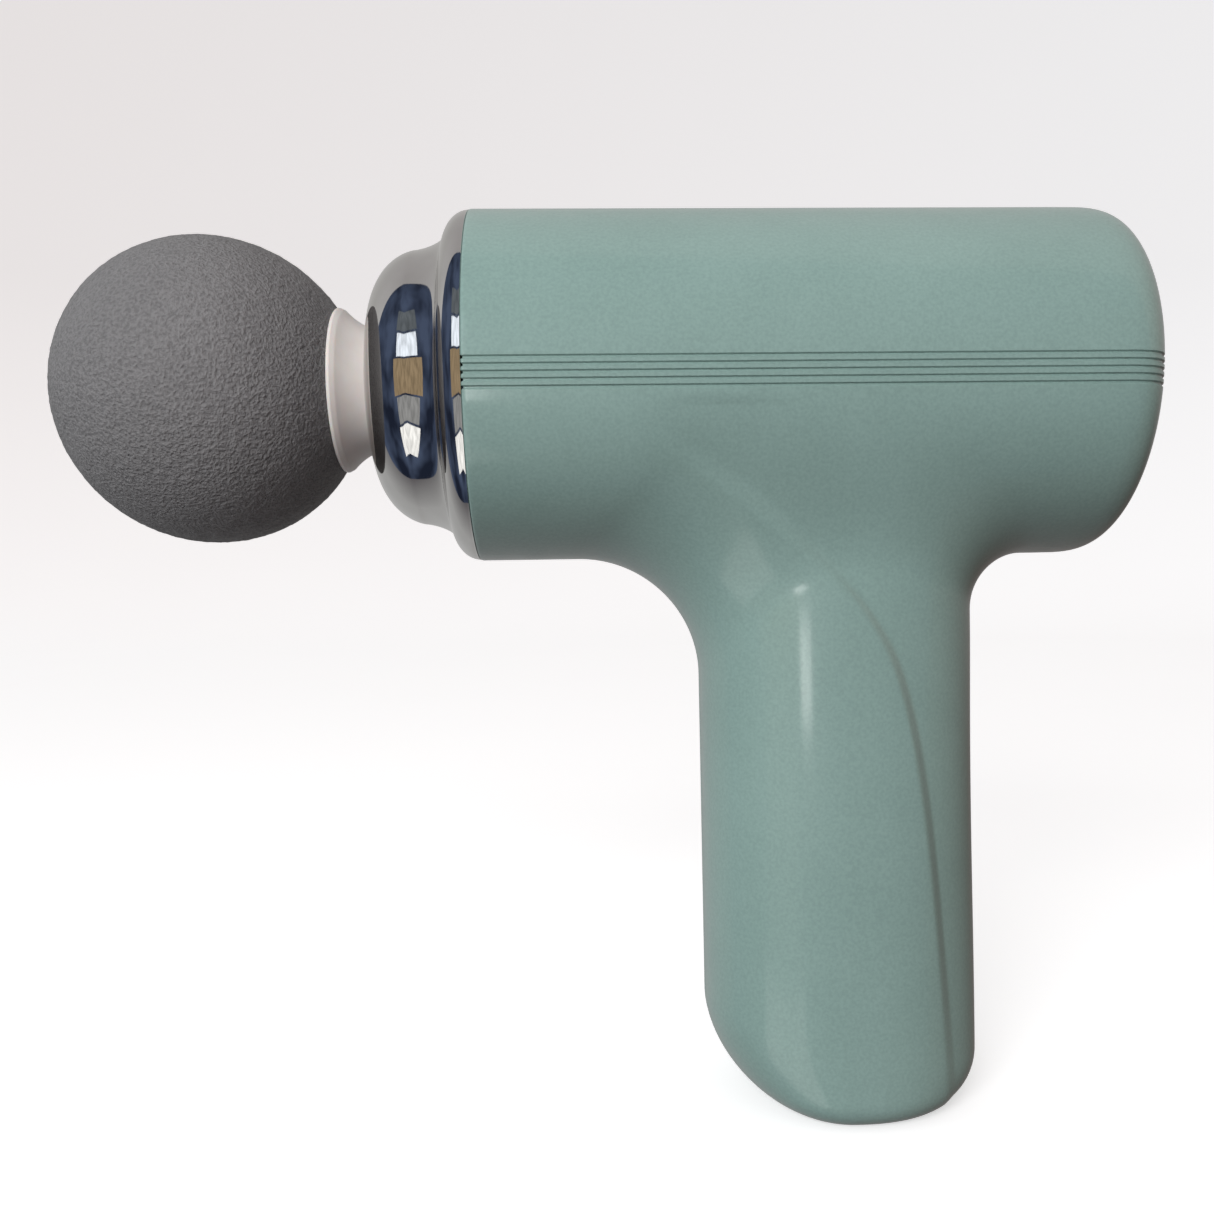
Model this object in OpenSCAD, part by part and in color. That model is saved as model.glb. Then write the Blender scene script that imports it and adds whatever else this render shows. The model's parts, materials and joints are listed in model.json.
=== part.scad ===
// Pocket massage gun: a T-shaped hand unit whose motor drives a plunger along the barrel.
// Origin: centre of the flat base of the handle. +Z up the handle, -X towards the massage head,
// +X towards the push button, the shells part on the plane y = 0.

/* [Body] */
// Height of the barrel axis above the flat base
axis_h = 95.5; // [94:0.5:100]
// Outer radius of the barrel
barrel_r = 22.5; // [22:0.25:24]
// Distance from the handle centre forward to the shell rim
barrel_front = 47.5; // [46:0.5:50]
// Distance from the handle centre back to the rear of the barrel
barrel_rear = 37; // [36.8:0.2:40]
// Wall thickness of the shells
wall = 1.8; // [1.5:0.1:2]

/* [Handle] */
// Half width of the handle, front to back
handle_a = 18; // [17.5:0.25:19]
// Half depth of the handle, side to side
handle_b = 15.5; // [15.25:0.25:17]
// Radius of the fillet between the barrel and the front of the handle
fillet_front = 16; // [13:0.5:17]
// Radius of the fillet between the barrel and the back of the handle
fillet_rear = 8; // [7:0.5:9]

/* [Ribs] */
// Number of decorative grooves around the barrel
groove_count = 5; // [3:1:5]
// Distance between neighbouring grooves
groove_pitch = 0.85; // [0.7:0.05:1]

/* [Drive] */
// Travel of the massage head from fully back to fully out
stroke = 7; // [5:0.5:7]
// Distance between the two bearings of the connecting rod
rod_length = 30; // [29:0.5:31]
// Radius of the plunger
plunger_r = 8; // [7.5:0.1:8]

/* [Massage head] */
// Radius of the foam ball
ball_r = 19.7; // [18:0.1:21]
// Distance from the handle centre forward to the ball centre
ball_x = 82; // [81.5:0.25:84]
// Radius of the flange that holds the ball
flange_r = 10.6; // [10:0.1:11]

/* [Hidden] */
$fn = 64;

// Colours
sage = [0.52, 0.63, 0.60];
chrome = [0.82, 0.83, 0.85];
steel = [0.62, 0.63, 0.66];
foam_grey = [0.42, 0.42, 0.43];
off_white = [0.88, 0.87, 0.86];
rubber_black = [0.12, 0.12, 0.13];
board_green = [0.05, 0.30, 0.18];
copper = [0.78, 0.45, 0.22];

// Shape of the shells
section_power = 2.3;         // superellipse exponent of the handle section
cap_length = 10;             // length of the rounded rear of the barrel
cap_power = 4.4;             // superellipse exponent of the rear of the barrel
base_front = 7;              // how far the flat base reaches in front of the handle centre
base_rise = 13;              // height over which the lower front curves up
base_power = 1.75;           // superellipse exponent of the lower front
base_back_w = 6.5;             // how far the lower back edge curves in
base_back_h = 7;             // height over which the lower back curves up
base_side_r = 3.5;           // radius of the lower side edges
lean_h = 70;                 // height over which the handle leans
swell = 0.25;                // how much wider the handle is at its base
lean = 0.8;                  // how far the handle leans forward from its base to the barrel
side_reach = 4.5;            // how far the side blend climbs the barrel
columns = 40;                // points around the handle
groove_w = 0.4;
groove_depth = 0.4;
groove_drop = 1.5;            // middle of the grooves below the axis

// Front end
collar_front = 60.6;         // distance of the front face of the collar
collar_hole_r = 8.6;
collar_wall = 1.5;
spigot_len = 3;              // part of the collar that slides inside the shells
neck_x = 57;                 // shoulder of the head against the plunger
stem_r = 6;
stem_len = 14;
socket_r = 6.05;
socket_len = 15;
spigot_r = 5;                // core of the head inside the foam
spigot_front = 76;

// Drive line
motor_x = -1;                // motor axis, measured back from the handle centre
throw = stroke / 2;
crank_pin_x = motor_x + throw;
wrist_x = crank_pin_x - rod_length;
plunger_rear = wrist_x + 5.5;
fork_gap = 5.6;
plate_top = -7.5;            // top of the frame plate, measured from the barrel axis
plate_t = 2;
bush_r = 10;
bush_clear = 0.03;           // running clearance of every shaft
tube_r = 11.5;
flange_x = 46.4;             // front of the frame flange
flange_t = 4.4;
frame_flange_r = 18.4;
bell_r = 12.5;
bell_wall = 0.9;
bell_low = -28.4;
bell_top = -13.6;
magnet_t = 1.3;
stator_r = 9.9;
stator_low = -23.6;
stator_high = -15;
slots = 9;
shaft_r = 2;
bearing_r = 4.5;
bearing_w = 3;
hub_r = 5.6;
wheel_top = -2.9;
wheel_t = 3.8;
wheel_r = 11.2;
pin_r = 2.5;
wrist_r = 2;

// Screws that close the shells: x and height
boss_r = 2.6;
screw_r = 1;
head_r = 2.1;
barrel_screws = [[-36, axis_h + 16.4], [-36, axis_h - 16.4], [26, axis_h + 12.5], [26.5, axis_h - 16.6]];
handle_screw = [-3.5, 8];
handle_boss_y = 13.8;
screw_points = concat(barrel_screws, [handle_screw]);
screw_head_y = 5;
plug_t = 1.2;

// Rear controls
button_r = 5.8;
bezel_r = 7.4;
button_travel = 0.5;
led_r = 9.6;
led_angles = [-36, -12, 12, 36];
board_x = 29.9;

// Handle contents
cell_r = 7.1;
cell_len = 49;
cell_low = 13.4;
cell_y = 4.4;
usb_x = 5.6;
usb_w = 8.94;
usb_t = 3.2;

// ---------- shared shapes ----------

// Cylinder along the barrel axis from x0 to x1
module barrel_cyl(x0, x1, r, fn = 64) {
  translate([x0, 0, axis_h]) rotate([0, 90, 0]) cylinder(r = r, h = x1 - x0, $fn = fn);
}

// Upright cylinder between two heights measured from the barrel axis
module drive_cyl(x, low, high, r, fn = 64) {
  translate([x, 0, axis_h + low]) cylinder(r = r, h = high - low, $fn = fn);
}

// Cylinder across the body at x and height z, from y0 to y1
module cross_cyl(x, z, y0, y1, r, fn = 32) {
  translate([x, y0, z]) rotate([-90, 0, 0]) cylinder(r = r, h = y1 - y0, $fn = fn);
}

// Solid of revolution about the barrel axis from [x, radius] points
module barrel_revolve(points) {
  translate([0, 0, axis_h]) rotate([0, 90, 0])
    rotate_extrude($fn = 96) polygon([for (p = points) [p[1], p[0]]]);
}

// Box given by its lowest and highest corners
module block(low, high) {
  translate(low) cube(high - low);
}

// Half of space on one side of the parting plane: side -1 is left, side 1 is right
module half_space(side) {
  block([-120, side < 0 ? -60 : 0, -20], [80, side < 0 ? 0 : 60, 160]);
}

// ---------- body form ----------

// Barrel with its superellipse rear, moved inwards by inset
module barrel_form(inset) {
  r = barrel_r - inset;
  cap = cap_length - inset * 0.6;
  start = barrel_rear - inset - cap;
  rounding = [for (a = [0 : 7.5 : 90])
    [start + cap * pow(sin(a), 2 / cap_power), r * pow(cos(a), 2 / cap_power)]];
  barrel_revolve(concat([[-barrel_front, 0], [-barrel_front, r]], rounding));
}

// Quarter-ellipse rise from low to full over the height h
function rise(z, h, low, full, power = 2) =
  z >= h ? full : low + (full - low) * pow(1 - pow(1 - z / h, power), 1 / power);

// Half widths of the handle at height z, moved inwards by inset
function wide(z) = swell * (1 - min(z / lean_h, 1));
function front_a(z, inset) = rise(z, base_rise, base_front, handle_a, base_power) + wide(z) - inset;
function rear_a(z, inset) = rise(z, base_back_h, handle_a - base_back_w, handle_a) + wide(z) - inset;
function side_b(z, inset) = rise(z, base_side_r, handle_b - base_side_r, handle_b) - inset;

// Point of the handle section at angle t
function section(t, z, inset) = [
  lean * (0.3 - min(z / lean_h, 1))
    + (cos(t) < 0 ? front_a(z, inset) : rear_a(z, inset)) * sign(cos(t)) * pow(abs(cos(t)), 2 / section_power),
  side_b(z, inset) * sign(sin(t)) * pow(abs(sin(t)), 2 / section_power)
];

// Reach of the blend in the direction u
function reach(u) = u[0] * u[0] * (u[0] < 0 ? fillet_front : fillet_rear) + u[1] * u[1] * side_reach;

// Height of the lower barrel surface at y
function under(y, inset) = axis_h - sqrt(pow(barrel_r - inset, 2) - y * y);

function bezier(p0, p1, p2, p3, s) =
  pow(1 - s, 3) * p0 + 3 * s * pow(1 - s, 2) * p1 + 3 * s * s * (1 - s) * p2 + s * s * s * p3;

// Point of the blend between the handle wall and the barrel, at angle t and share s
function blend_point(t, s, inset) =
  let (
    w = section(t, axis_h / 2, inset),
    u = [cos(t), sin(t)],
    d = reach(u),
    corner = [w[0], w[1], under(w[1], inset)],
    foot = [w[0], w[1], corner[2] - (d + inset)],
    tip_y = w[1] + u[1] * (d + inset),
    tip = [w[0] + u[0] * (d + inset), tip_y, under(tip_y, inset) + 0.05],
    k = 0.5523
  ) bezier(foot, foot + (corner - foot) * k, tip + (corner - tip) * k, tip, s);

// Handle with its blend into the barrel
module handle_form(inset, floor_z) {
  low_rings = [for (a = [0 : 15 : 90]) floor_z + (base_rise - floor_z) * (1 - cos(a))];
  blend_steps = [for (i = [0 : 8]) i / 8];
  angles = [for (i = [0 : columns - 1]) i * 360 / columns];
  rings = concat(
    [for (z = low_rings) [for (t = angles) let (p = section(t, z, inset)) [p[0], p[1], z]]],
    [for (s = blend_steps) [for (t = angles) blend_point(t, s, inset)]],
    [[for (t = angles) let (p = section(t, axis_h / 2, inset)) [p[0] * 0.9, p[1] * 0.8, axis_h - 9]]]
  );
  n = len(rings);
  walls = [for (i = [0 : n - 2]) for (j = [0 : columns - 1])
    let (j1 = (j + 1) % columns)
      each [[i * columns + j, (i + 1) * columns + j, i * columns + j1],
            [i * columns + j1, (i + 1) * columns + j, (i + 1) * columns + j1]]];
  bottom = [for (j = [0 : columns - 1]) j];
  top = [for (j = [columns - 1 : -1 : 0]) (n - 1) * columns + j];
  polyhedron(points = [for (r = rings) each r], faces = concat([bottom], walls, [top]));
}

// Whole outer form, or its cavity when inset is the wall
module body_form(inset) {
  barrel_form(inset);
  handle_form(inset, inset == 0 ? 0 : wall + 0.4);
}

// Decorative grooves that run along both sides and round the rear
module grooves() {
  difference() {
    for (i = [0 : groove_count - 1])
      translate([-barrel_front - 1, -30, axis_h - groove_drop + (i - (groove_count - 1) / 2) * groove_pitch - groove_w / 2])
        cube([barrel_front + barrel_rear + 2, 60, groove_w]);
    barrel_form(groove_depth);
  }
}

// ---------- housing ----------

// Openings shared by both shells: button, indicator lights and charging port
module shell_openings() {
  barrel_cyl(30, 45, bezel_r + 0.05);
  for (a = led_angles)
    translate([25, led_r * sin(a), axis_h - led_r * cos(a)]) rotate([0, 90, 0])
      cylinder(r = 0.85, h = 20, $fn = 24);
  block([usb_x - 4.8, -1.95, -1], [usb_x + 4.8, 1.95, 4]);
}

module shell(side) {
  difference() {
    intersection() {
      difference() {
        body_form(0);
        body_form(wall);
        barrel_cyl(-barrel_front - 1, -barrel_front + spigot_len + 0.2, barrel_r - wall + 0.3);
        grooves();
      }
      half_space(side);
    }
    shell_openings();
    if (side > 0)
      for (p = screw_points) cross_cyl(p[0], p[1], screw_head_y, 30, boss_r);
  }
}

// Bosses of one shell, from the parting plane to the wall
module bosses(side, r) {
  intersection() {
    for (p = barrel_screws) cross_cyl(p[0], p[1], min(0, side * 25), max(0, side * 25), r);
    barrel_cyl(-barrel_front + spigot_len + 1, barrel_rear - 5, barrel_r - 0.5);
  }
  cross_cyl(handle_screw[0], handle_screw[1], min(0, side * handle_boss_y), max(0, side * handle_boss_y), r);
}

// Ribs that hold the rear damper and the control board
module ribs(side) {
  for (r = [[13, 12, -12.3, 17, 17.2, -11.3], [13, 12, -5.7, 17, 20.2, -4.7],
            [board_x - 1.1, 11.5, -2, board_x - 0.05, 20.8, 2],
            [board_x + 1.25, 11.5, -2, board_x + 2.3, 20.3, 2]])
    block([r[0], min(side * r[1], side * r[4]), axis_h + r[2]],
          [r[3], max(side * r[1], side * r[4]), axis_h + r[5]]);
}

module left_shell() {
  color(sage) {
    shell(-1);
    ribs(-1);
    difference() {
      bosses(-1, boss_r);
      for (p = screw_points) cross_cyl(p[0], p[1], -screw_head_y - 4, 1, screw_r + 0.02);
    }
  }
}

module right_shell() {
  color(sage) {
    shell(1);
    ribs(1);
    difference() {
      bosses(1, boss_r + 1);
      for (p = screw_points) {
        cross_cyl(p[0], p[1], screw_head_y, 30, boss_r);
        cross_cyl(p[0], p[1], -1, 30, screw_r + 0.2);
      }
    }
  }
}

// Chromed ring that closes the front of the barrel: a domed nose, a waist and a flared rim
module front_collar() {
  power = 2 / 1.8;            // the nose is a superellipse
  nose_size = [7.1, 8.3];     // reach of the nose ring forwards and outwards
  nose_c = [-collar_front + nose_size[0], 9.5];
  nose = [for (a = [0 : 8 : 80]) nose_c + [-nose_size[0] * pow(cos(a), power), nose_size[1] * pow(sin(a), power)]];
  flare_size = [3.3, 3.9];    // reach of the flare forwards and outwards
  flare_c = [-barrel_front, 18.5];
  flare = [for (a = [12 : 13 : 90])
    flare_c + [-flare_size[0] * cos(a), flare_size[1] * sin(a)]];
  dip = [for (s = [0.25 : 0.25 : 0.75])
    bezier(nose[10], nose[10] + [1.6, 0.2], flare[0] - [0.35, 0.8], flare[0], s)];
  color(chrome) difference() {
    union() {
      barrel_revolve(concat([[-collar_front, collar_hole_r]], nose, dip, flare,
        [[-barrel_front, barrel_r - 0.05], [-barrel_front, collar_hole_r]]));
      barrel_cyl(-barrel_front - 0.5, -barrel_front + spigot_len, barrel_r - wall + 0.2);
    }
    barrel_cyl(-collar_front - 1, -barrel_front + spigot_len + 1, collar_hole_r);
    barrel_revolve([[-collar_front + 2.2, 0], [-collar_front + 2.2, 12.6], [-collar_front + 5, 15.3],
      [-barrel_front + 0.5, 16.4], [-barrel_front + 0.9, 20.9 - collar_wall],
      [-barrel_front + spigot_len + 1, 20.9 - collar_wall], [-barrel_front + spigot_len + 1, 0]]);
  }
}

// Lip seal between the collar and the plunger
module collar_seal() {
  color(rubber_black)
    barrel_revolve([[-neck_x - 0.5, plunger_r + 0.06], [-neck_x - 0.5, 11.6], [-neck_x + 1.1, 11.6],
      [-neck_x + 1.1, 10.1], [-neck_x + 0.3, plunger_r + 0.06]]);
}

module shell_screws() {
  color(steel) for (p = screw_points) {
    cross_cyl(p[0], p[1], -screw_head_y - 3, screw_head_y + 0.1, screw_r);
    difference() {
      cross_cyl(p[0], p[1], screw_head_y, screw_head_y + 1.6, head_r);
      cross_cyl(p[0], p[1], screw_head_y + 0.8, screw_head_y + 2, 0.7, 6);
    }
  }
}

// Caps that fill the screw wells on the right side, cut to the outer form
module screw_plugs() {
  color(sage) {
    intersection() {
      for (p = barrel_screws)
        let (edge = sqrt(pow(barrel_r, 2) - pow(abs(p[1] - axis_h) + boss_r, 2)))
          cross_cyl(p[0], p[1], edge - plug_t, 30, boss_r - 0.05);
      barrel_cyl(-barrel_front, barrel_rear, barrel_r - 0.02);
    }
    intersection() {
      cross_cyl(handle_screw[0], handle_screw[1], handle_boss_y - plug_t, 30, boss_r - 0.05);
      handle_form(0.02, 0);
    }
  }
}

// ---------- drive unit, fixed parts ----------

// Holes for the four screws that join the motor to the frame
module frame_screw_holes() {
  for (a = [45 : 90 : 315])
    translate([motor_x + 7.6 * cos(a), 7.6 * sin(a), axis_h + plate_top - plate_t - 1.8])
      cylinder(r = 1.02, h = 5, $fn = 24);
}

// Cast frame: guide tube, flange and motor plate in one piece
module drive_frame() {
  color("silver") difference() {
    union() {
      barrel_cyl(-neck_x + 1.1, -36, tube_r);
      barrel_cyl(-flange_x, -flange_x + flange_t, frame_flange_r);
      block([-flange_x + 1, -13.5, axis_h + plate_top - plate_t], [15, 13.5, axis_h + plate_top]);
      for (s = [-1, 1])
        block([-flange_x + 1, s * 12 - 1, axis_h + plate_top - 1], [-16, s * 12 + 1, axis_h - 1]);
    }
    barrel_cyl(-neck_x, -30, bush_r);
    barrel_cyl(-37, -18, plunger_r + 0.6);
    drive_cyl(motor_x, plate_top - plate_t - 1, plate_top + 1, hub_r + 0.05);
    frame_screw_holes();
  }
}

module linear_bush() {
  color("goldenrod") difference() {
    barrel_cyl(-neck_x + 1.2, -38, bush_r);
    barrel_cyl(-neck_x, -37, plunger_r + bush_clear);
  }
}

// Rubber ring that carries the frame flange inside the shells
module front_damper() {
  color(rubber_black) difference() {
    barrel_cyl(-barrel_front + spigot_len + 0.3, -flange_x + flange_t, barrel_r - wall - 0.02);
    barrel_cyl(-barrel_front, -30, frame_flange_r);
  }
}

// Rubber block that carries the rear of the frame plate
module rear_damper() {
  color(rubber_black) difference() {
    block([12.5, -14.5, axis_h + plate_top - plate_t - 1.8], [17.5, 14.5, axis_h + plate_top + 1.8]);
    block([10, -13.5, axis_h + plate_top - plate_t], [15, 13.5, axis_h + plate_top]);
  }
}

module frame_screws() {
  color(steel) for (a = [45 : 90 : 315])
    translate([motor_x + 7.6 * cos(a), 7.6 * sin(a), axis_h]) {
      translate([0, 0, plate_top - plate_t - 1.6]) cylinder(r = 1, h = plate_t + 1.6, $fn = 24);
      translate([0, 0, plate_top]) cylinder(r = 1.6, h = 0.4, $fn = 24);
    }
}

// Stator carrier: flange under the plate and the bearing tube
module motor_base() {
  color("dimgray") difference() {
    union() {
      drive_cyl(motor_x, -12.2, plate_top - plate_t, 9.6);
      drive_cyl(motor_x, -26.8, -8, hub_r);
    }
    drive_cyl(motor_x, -30, 0, shaft_r + 0.6);
    drive_cyl(motor_x, -8 - bearing_w, 0, bearing_r);
    drive_cyl(motor_x, -30, -26.8 + bearing_w, bearing_r);
    frame_screw_holes();
  }
}

module motor_bearings() {
  color(chrome) for (low = [-8 - bearing_w, -26.8])
    difference() {
      drive_cyl(motor_x, low, low + bearing_w, bearing_r);
      drive_cyl(motor_x, low - 1, low + bearing_w + 1, shaft_r + bush_clear);
    }
}

// Laminated core: a ring with one T-shaped tooth for each slot
module stator_core() {
  color(steel) translate([motor_x, 0, axis_h + stator_low]) linear_extrude(stator_high - stator_low) {
    difference() {
      circle(r = hub_r + 1.2);
      circle(r = hub_r);
    }
    intersection() {
      difference() {
        circle(r = stator_r);
        circle(r = hub_r + 0.6);
      }
      union() for (i = [0 : slots - 1]) rotate(i * 360 / slots) {
        translate([hub_r, -0.9]) square([stator_r - hub_r, 1.8]);
        translate([stator_r - 0.9, -2.9]) square([1.5, 5.8]);
      }
    }
  }
}

// One coil round each tooth
module stator_windings() {
  inner = hub_r + 1.3;
  outer = stator_r - 1;
  color(copper) translate([motor_x, 0, axis_h]) for (i = [0 : slots - 1]) rotate([0, 0, i * 360 / slots])
    difference() {
      block([inner, -2, stator_low - 1.1], [outer, 2, stator_high + 1.1]);
      block([inner - 1, -0.92, stator_low - 0.02], [outer + 1, 0.92, stator_high + 0.02]);
    }
}

function unit(v) = v / norm(v);

// Route with each inner corner replaced by three points of a curve that starts b before it
function rounded(points, b) = concat([points[0]],
  [for (i = [1 : len(points) - 2])
    let (
      p = points[i],
      before = p - b * unit(p - points[i - 1]),
      after = p + b * unit(points[i + 1] - p)
    ) each [before, (before + 2 * p + after) / 4, after]],
  [points[len(points) - 1]]);

// Direction of the route at point i
function heading(points, i) =
  let (last = len(points) - 1)
    unit((i > 0 ? unit(points[i] - points[i - 1]) : [0, 0, 0])
      + (i < last ? unit(points[i + 1] - points[i]) : [0, 0, 0]));

// Side direction at each point, carried along the route without twist
function sides(points, i, n) = i == len(points) ? [] :
  let (t = heading(points, i), m = unit(n - (n * t) * t)) concat([m], sides(points, i + 1, m));

// Round wire along a route of corners
module wire(corners, r, bend = 1) {
  route = rounded(corners, bend);
  first = heading(route, 0);
  side = sides(route, 0, abs(first[2]) > 0.7 ? [1, 0, 0] : [0, 0, 1]);
  count = len(route);
  rings = [for (i = [0 : count - 1]) for (a = [0 : 45 : 315])
    route[i] + r * (cos(a) * side[i] + sin(a) * cross(heading(route, i), side[i]))];
  walls = [for (i = [0 : count - 2]) for (j = [0 : 7])
    let (a = i * 8 + j, b = i * 8 + (j + 1) % 8) each [[a, a + 8, b], [b, a + 8, b + 8]]];
  polyhedron(points = rings,
    faces = concat([[for (j = [0 : 7]) j]], walls, [[for (j = [7 : -1 : 0]) (count - 1) * 8 + j]]));
}

// Three phase wires from the windings over the bell and down its rear to the main board
module motor_wires() {
  high = axis_h - 12.9;
  color("firebrick") for (i = [-1 : 1])
    wire([[6.6, i * 1.5, high - 1], [6.6, i * 1.5, high], [13.4, i * 1.5, high], [13.4, i * 1.5, 63.8],
      [8 + i * 1.5, -4.8, 63.8], [8 + i * 1.5, -4.8, 61]], 0.42, 0.7);
}

// ---------- drive unit, turning parts ----------

module rotor_bell() {
  color("dimgray") difference() {
    drive_cyl(motor_x, bell_low, bell_top, bell_r);
    drive_cyl(motor_x, bell_low + 1.2, bell_top + 1, bell_r - bell_wall);
    drive_cyl(motor_x, bell_low - 1, bell_top, shaft_r);
    for (a = [0 : 60 : 300])
      translate([motor_x + 8 * cos(a), 8 * sin(a), axis_h + bell_low - 1]) cylinder(r = 2, h = 3, $fn = 24);
  }
}

// Twelve arc magnets inside the bell
module rotor_magnets() {
  outer = bell_r - bell_wall;
  color("gray") difference() {
    drive_cyl(motor_x, stator_low - 0.5, stator_high + 0.5, outer);
    drive_cyl(motor_x, stator_low - 1, stator_high + 1, outer - magnet_t);
    for (a = [0 : 30 : 150])
      translate([motor_x, 0, axis_h + stator_low - 1]) rotate([0, 0, a])
        translate([-20, -0.25, 0]) cube([40, 0.5, stator_high - stator_low + 2]);
  }
}

module motor_shaft() {
  color(chrome) drive_cyl(motor_x, bell_low - 0.4, wheel_top - 0.2, shaft_r);
}

// Eccentric wheel with its counterweight opposite the crank pin
module crank_wheel() {
  color(steel) difference() {
    union() {
      drive_cyl(motor_x, wheel_top - wheel_t, wheel_top, 7.2);
      difference() {
        drive_cyl(motor_x, wheel_top - wheel_t, wheel_top - 0.4, wheel_r);
        block([motor_x - 2, -20, axis_h - 20], [motor_x + 20, 20, axis_h]);
      }
    }
    drive_cyl(motor_x, wheel_top - wheel_t - 1, wheel_top - 0.2, shaft_r);
    drive_cyl(crank_pin_x, wheel_top - 1.5, wheel_top + 1, pin_r + 0.1);
  }
}

// ---------- plunger and connecting rod ----------

module plunger() {
  color(chrome) difference() {
    barrel_cyl(-neck_x, plunger_rear, plunger_r);
    barrel_cyl(-neck_x - 1, -neck_x + socket_len, socket_r);
    block([wrist_x - 5.2, -12, axis_h - fork_gap / 2], [plunger_rear + 1, 12, axis_h + fork_gap / 2]);
    drive_cyl(wrist_x, -10, 10, wrist_r);
  }
}

module wrist_pin() {
  color(steel) drive_cyl(wrist_x, -7, 7, wrist_r);
}

// Rubber pad at the bottom of the socket that the stem of the head rests on
module socket_cushion() {
  color(rubber_black) difference() {
    barrel_cyl(-neck_x + socket_len - 0.8, -neck_x + socket_len, socket_r);
    barrel_cyl(-neck_x, -neck_x + socket_len + 1, 3);
  }
}

module connecting_rod() {
  color("lightsteelblue") difference() {
    union() {
      drive_cyl(crank_pin_x, -2.5, 2.5, 8.5);
      drive_cyl(wrist_x, -2.5, 2.5, 4.4);
      block([wrist_x, -2.6, axis_h - 2], [crank_pin_x - 7, 2.6, axis_h + 2]);
    }
    drive_cyl(crank_pin_x, -4, 4, 6.5);
    drive_cyl(wrist_x, -4, 4, 3);
  }
}

module small_end_bush() {
  color("goldenrod") difference() {
    drive_cyl(wrist_x, -2.5, 2.5, 3);
    drive_cyl(wrist_x, -4, 4, wrist_r + bush_clear);
  }
}

module crank_bearing() {
  color(chrome) difference() {
    drive_cyl(crank_pin_x, -2, 2, 6.5);
    drive_cyl(crank_pin_x, -4, 4, pin_r);
  }
}

// Shouldered pin through the crank bearing
module crank_pin() {
  color(steel) {
    drive_cyl(crank_pin_x, -2.6, 2.6, pin_r);
    drive_cyl(crank_pin_x, 2.05, 3.4, pin_r + 1);
  }
}

// ---------- massage head ----------

// Plastic base: core inside the foam, dished flange, waisted neck and push-in stem
module head_base() {
  seat_r = ball_r + 0.03;
  rim_x = -ball_x + sqrt(seat_r * seat_r - flange_r * flange_r);
  flare_start = rim_x + 1;
  flare_end = -neck_x - 2;
  waist_r = 7.8;
  groove_x = -neck_x + 9;
  dish = [for (i = [0 : 6])
    let (r = spigot_r + (flange_r - 0.2 - spigot_r) * i / 6) [-ball_x + sqrt(seat_r * seat_r - r * r), r]];
  flare = [for (s = [0 : 0.1 : 1])
    [flare_start + (flare_end - flare_start) * s, waist_r + (flange_r - 0.2 - waist_r) * pow(1 - s, 2.3)]];
  color(off_white)
    barrel_revolve(concat([[-spigot_front, 0], [-spigot_front, spigot_r]], dish,
      [[rim_x + 0.2, flange_r], [rim_x + 0.7, flange_r]], flare,
      [[-neck_x, waist_r], [-neck_x, stem_r], [groove_x, stem_r], [groove_x, stem_r - 1.1],
       [groove_x + 1.3, stem_r - 1.1], [groove_x + 1.3, stem_r],
       [-neck_x + stem_len - 0.8, stem_r], [-neck_x + stem_len, stem_r - 0.8], [-neck_x + stem_len, 0]]));
}

// Closed-cell foam ball
module ball_head() {
  color(foam_grey) difference() {
    translate([-ball_x, 0, axis_h]) sphere(r = ball_r, $fn = 96);
    barrel_cyl(-spigot_front, -50, spigot_r);
  }
}

module head_o_ring() {
  color(rubber_black) translate([-neck_x + 9.65, 0, axis_h]) rotate([0, 90, 0])
    rotate_extrude($fn = 64) translate([stem_r - 0.62, 0]) circle(r = 0.46, $fn = 24);
}

// ---------- rear controls ----------

module power_button() {
  color("gainsboro") {
    barrel_cyl(barrel_rear - 1.8, barrel_rear, button_r);
    barrel_cyl(board_x + 4.7, barrel_rear - 1.8, 1.5);
  }
}

module button_bezel() {
  color(chrome) difference() {
    barrel_cyl(barrel_rear - 2.6, barrel_rear + 0.1, bezel_r);
    barrel_cyl(barrel_rear - 4, barrel_rear + 1, button_r + 0.35);
  }
}

module tact_switch() {
  color(rubber_black) {
    block([board_x + 1.2, -3, axis_h - 3], [board_x + 3.6, 3, axis_h + 3]);
    barrel_cyl(board_x + 3.6, board_x + 4.1, 1.6);
  }
}

module control_board() {
  color(board_green) intersection() {
    barrel_cyl(board_x, board_x + 1.2, 15.5);
    block([20, -12, axis_h - 14], [40, 12, axis_h + 9]);
  }
}

// Clear carrier whose pins reach the indicator holes
module light_guide() {
  color([0.9, 0.95, 0.9, 0.6]) {
    for (a = led_angles)
      translate([board_x + 3, led_r * sin(a), axis_h - led_r * cos(a)]) rotate([0, 90, 0])
        cylinder(r = 0.8, h = barrel_rear - 0.45 - board_x - 3, $fn = 24);
    block([board_x + 1.25, -8, axis_h - 11], [board_x + 3, 8, axis_h - 6.4]);
  }
}

// Flat cable from the control board, behind the motor, to the edge of the main board
module control_cable() {
  color("gray") {
    block([14.2, -6, axis_h - 13.4], [board_x, -2.4, axis_h - 13]);
    block([14.2, -6, 57.6], [14.6, -2.4, axis_h - 13]);
    block([11.5, -6, 57.6], [14.6, -2.4, 58]);
  }
}

// ---------- handle contents ----------

module battery_cells() {
  color("steelblue") for (s = [-1, 1])
    translate([s * (cell_r + 0.1), cell_y, cell_low]) cylinder(r = cell_r, h = cell_len);
}

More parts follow.
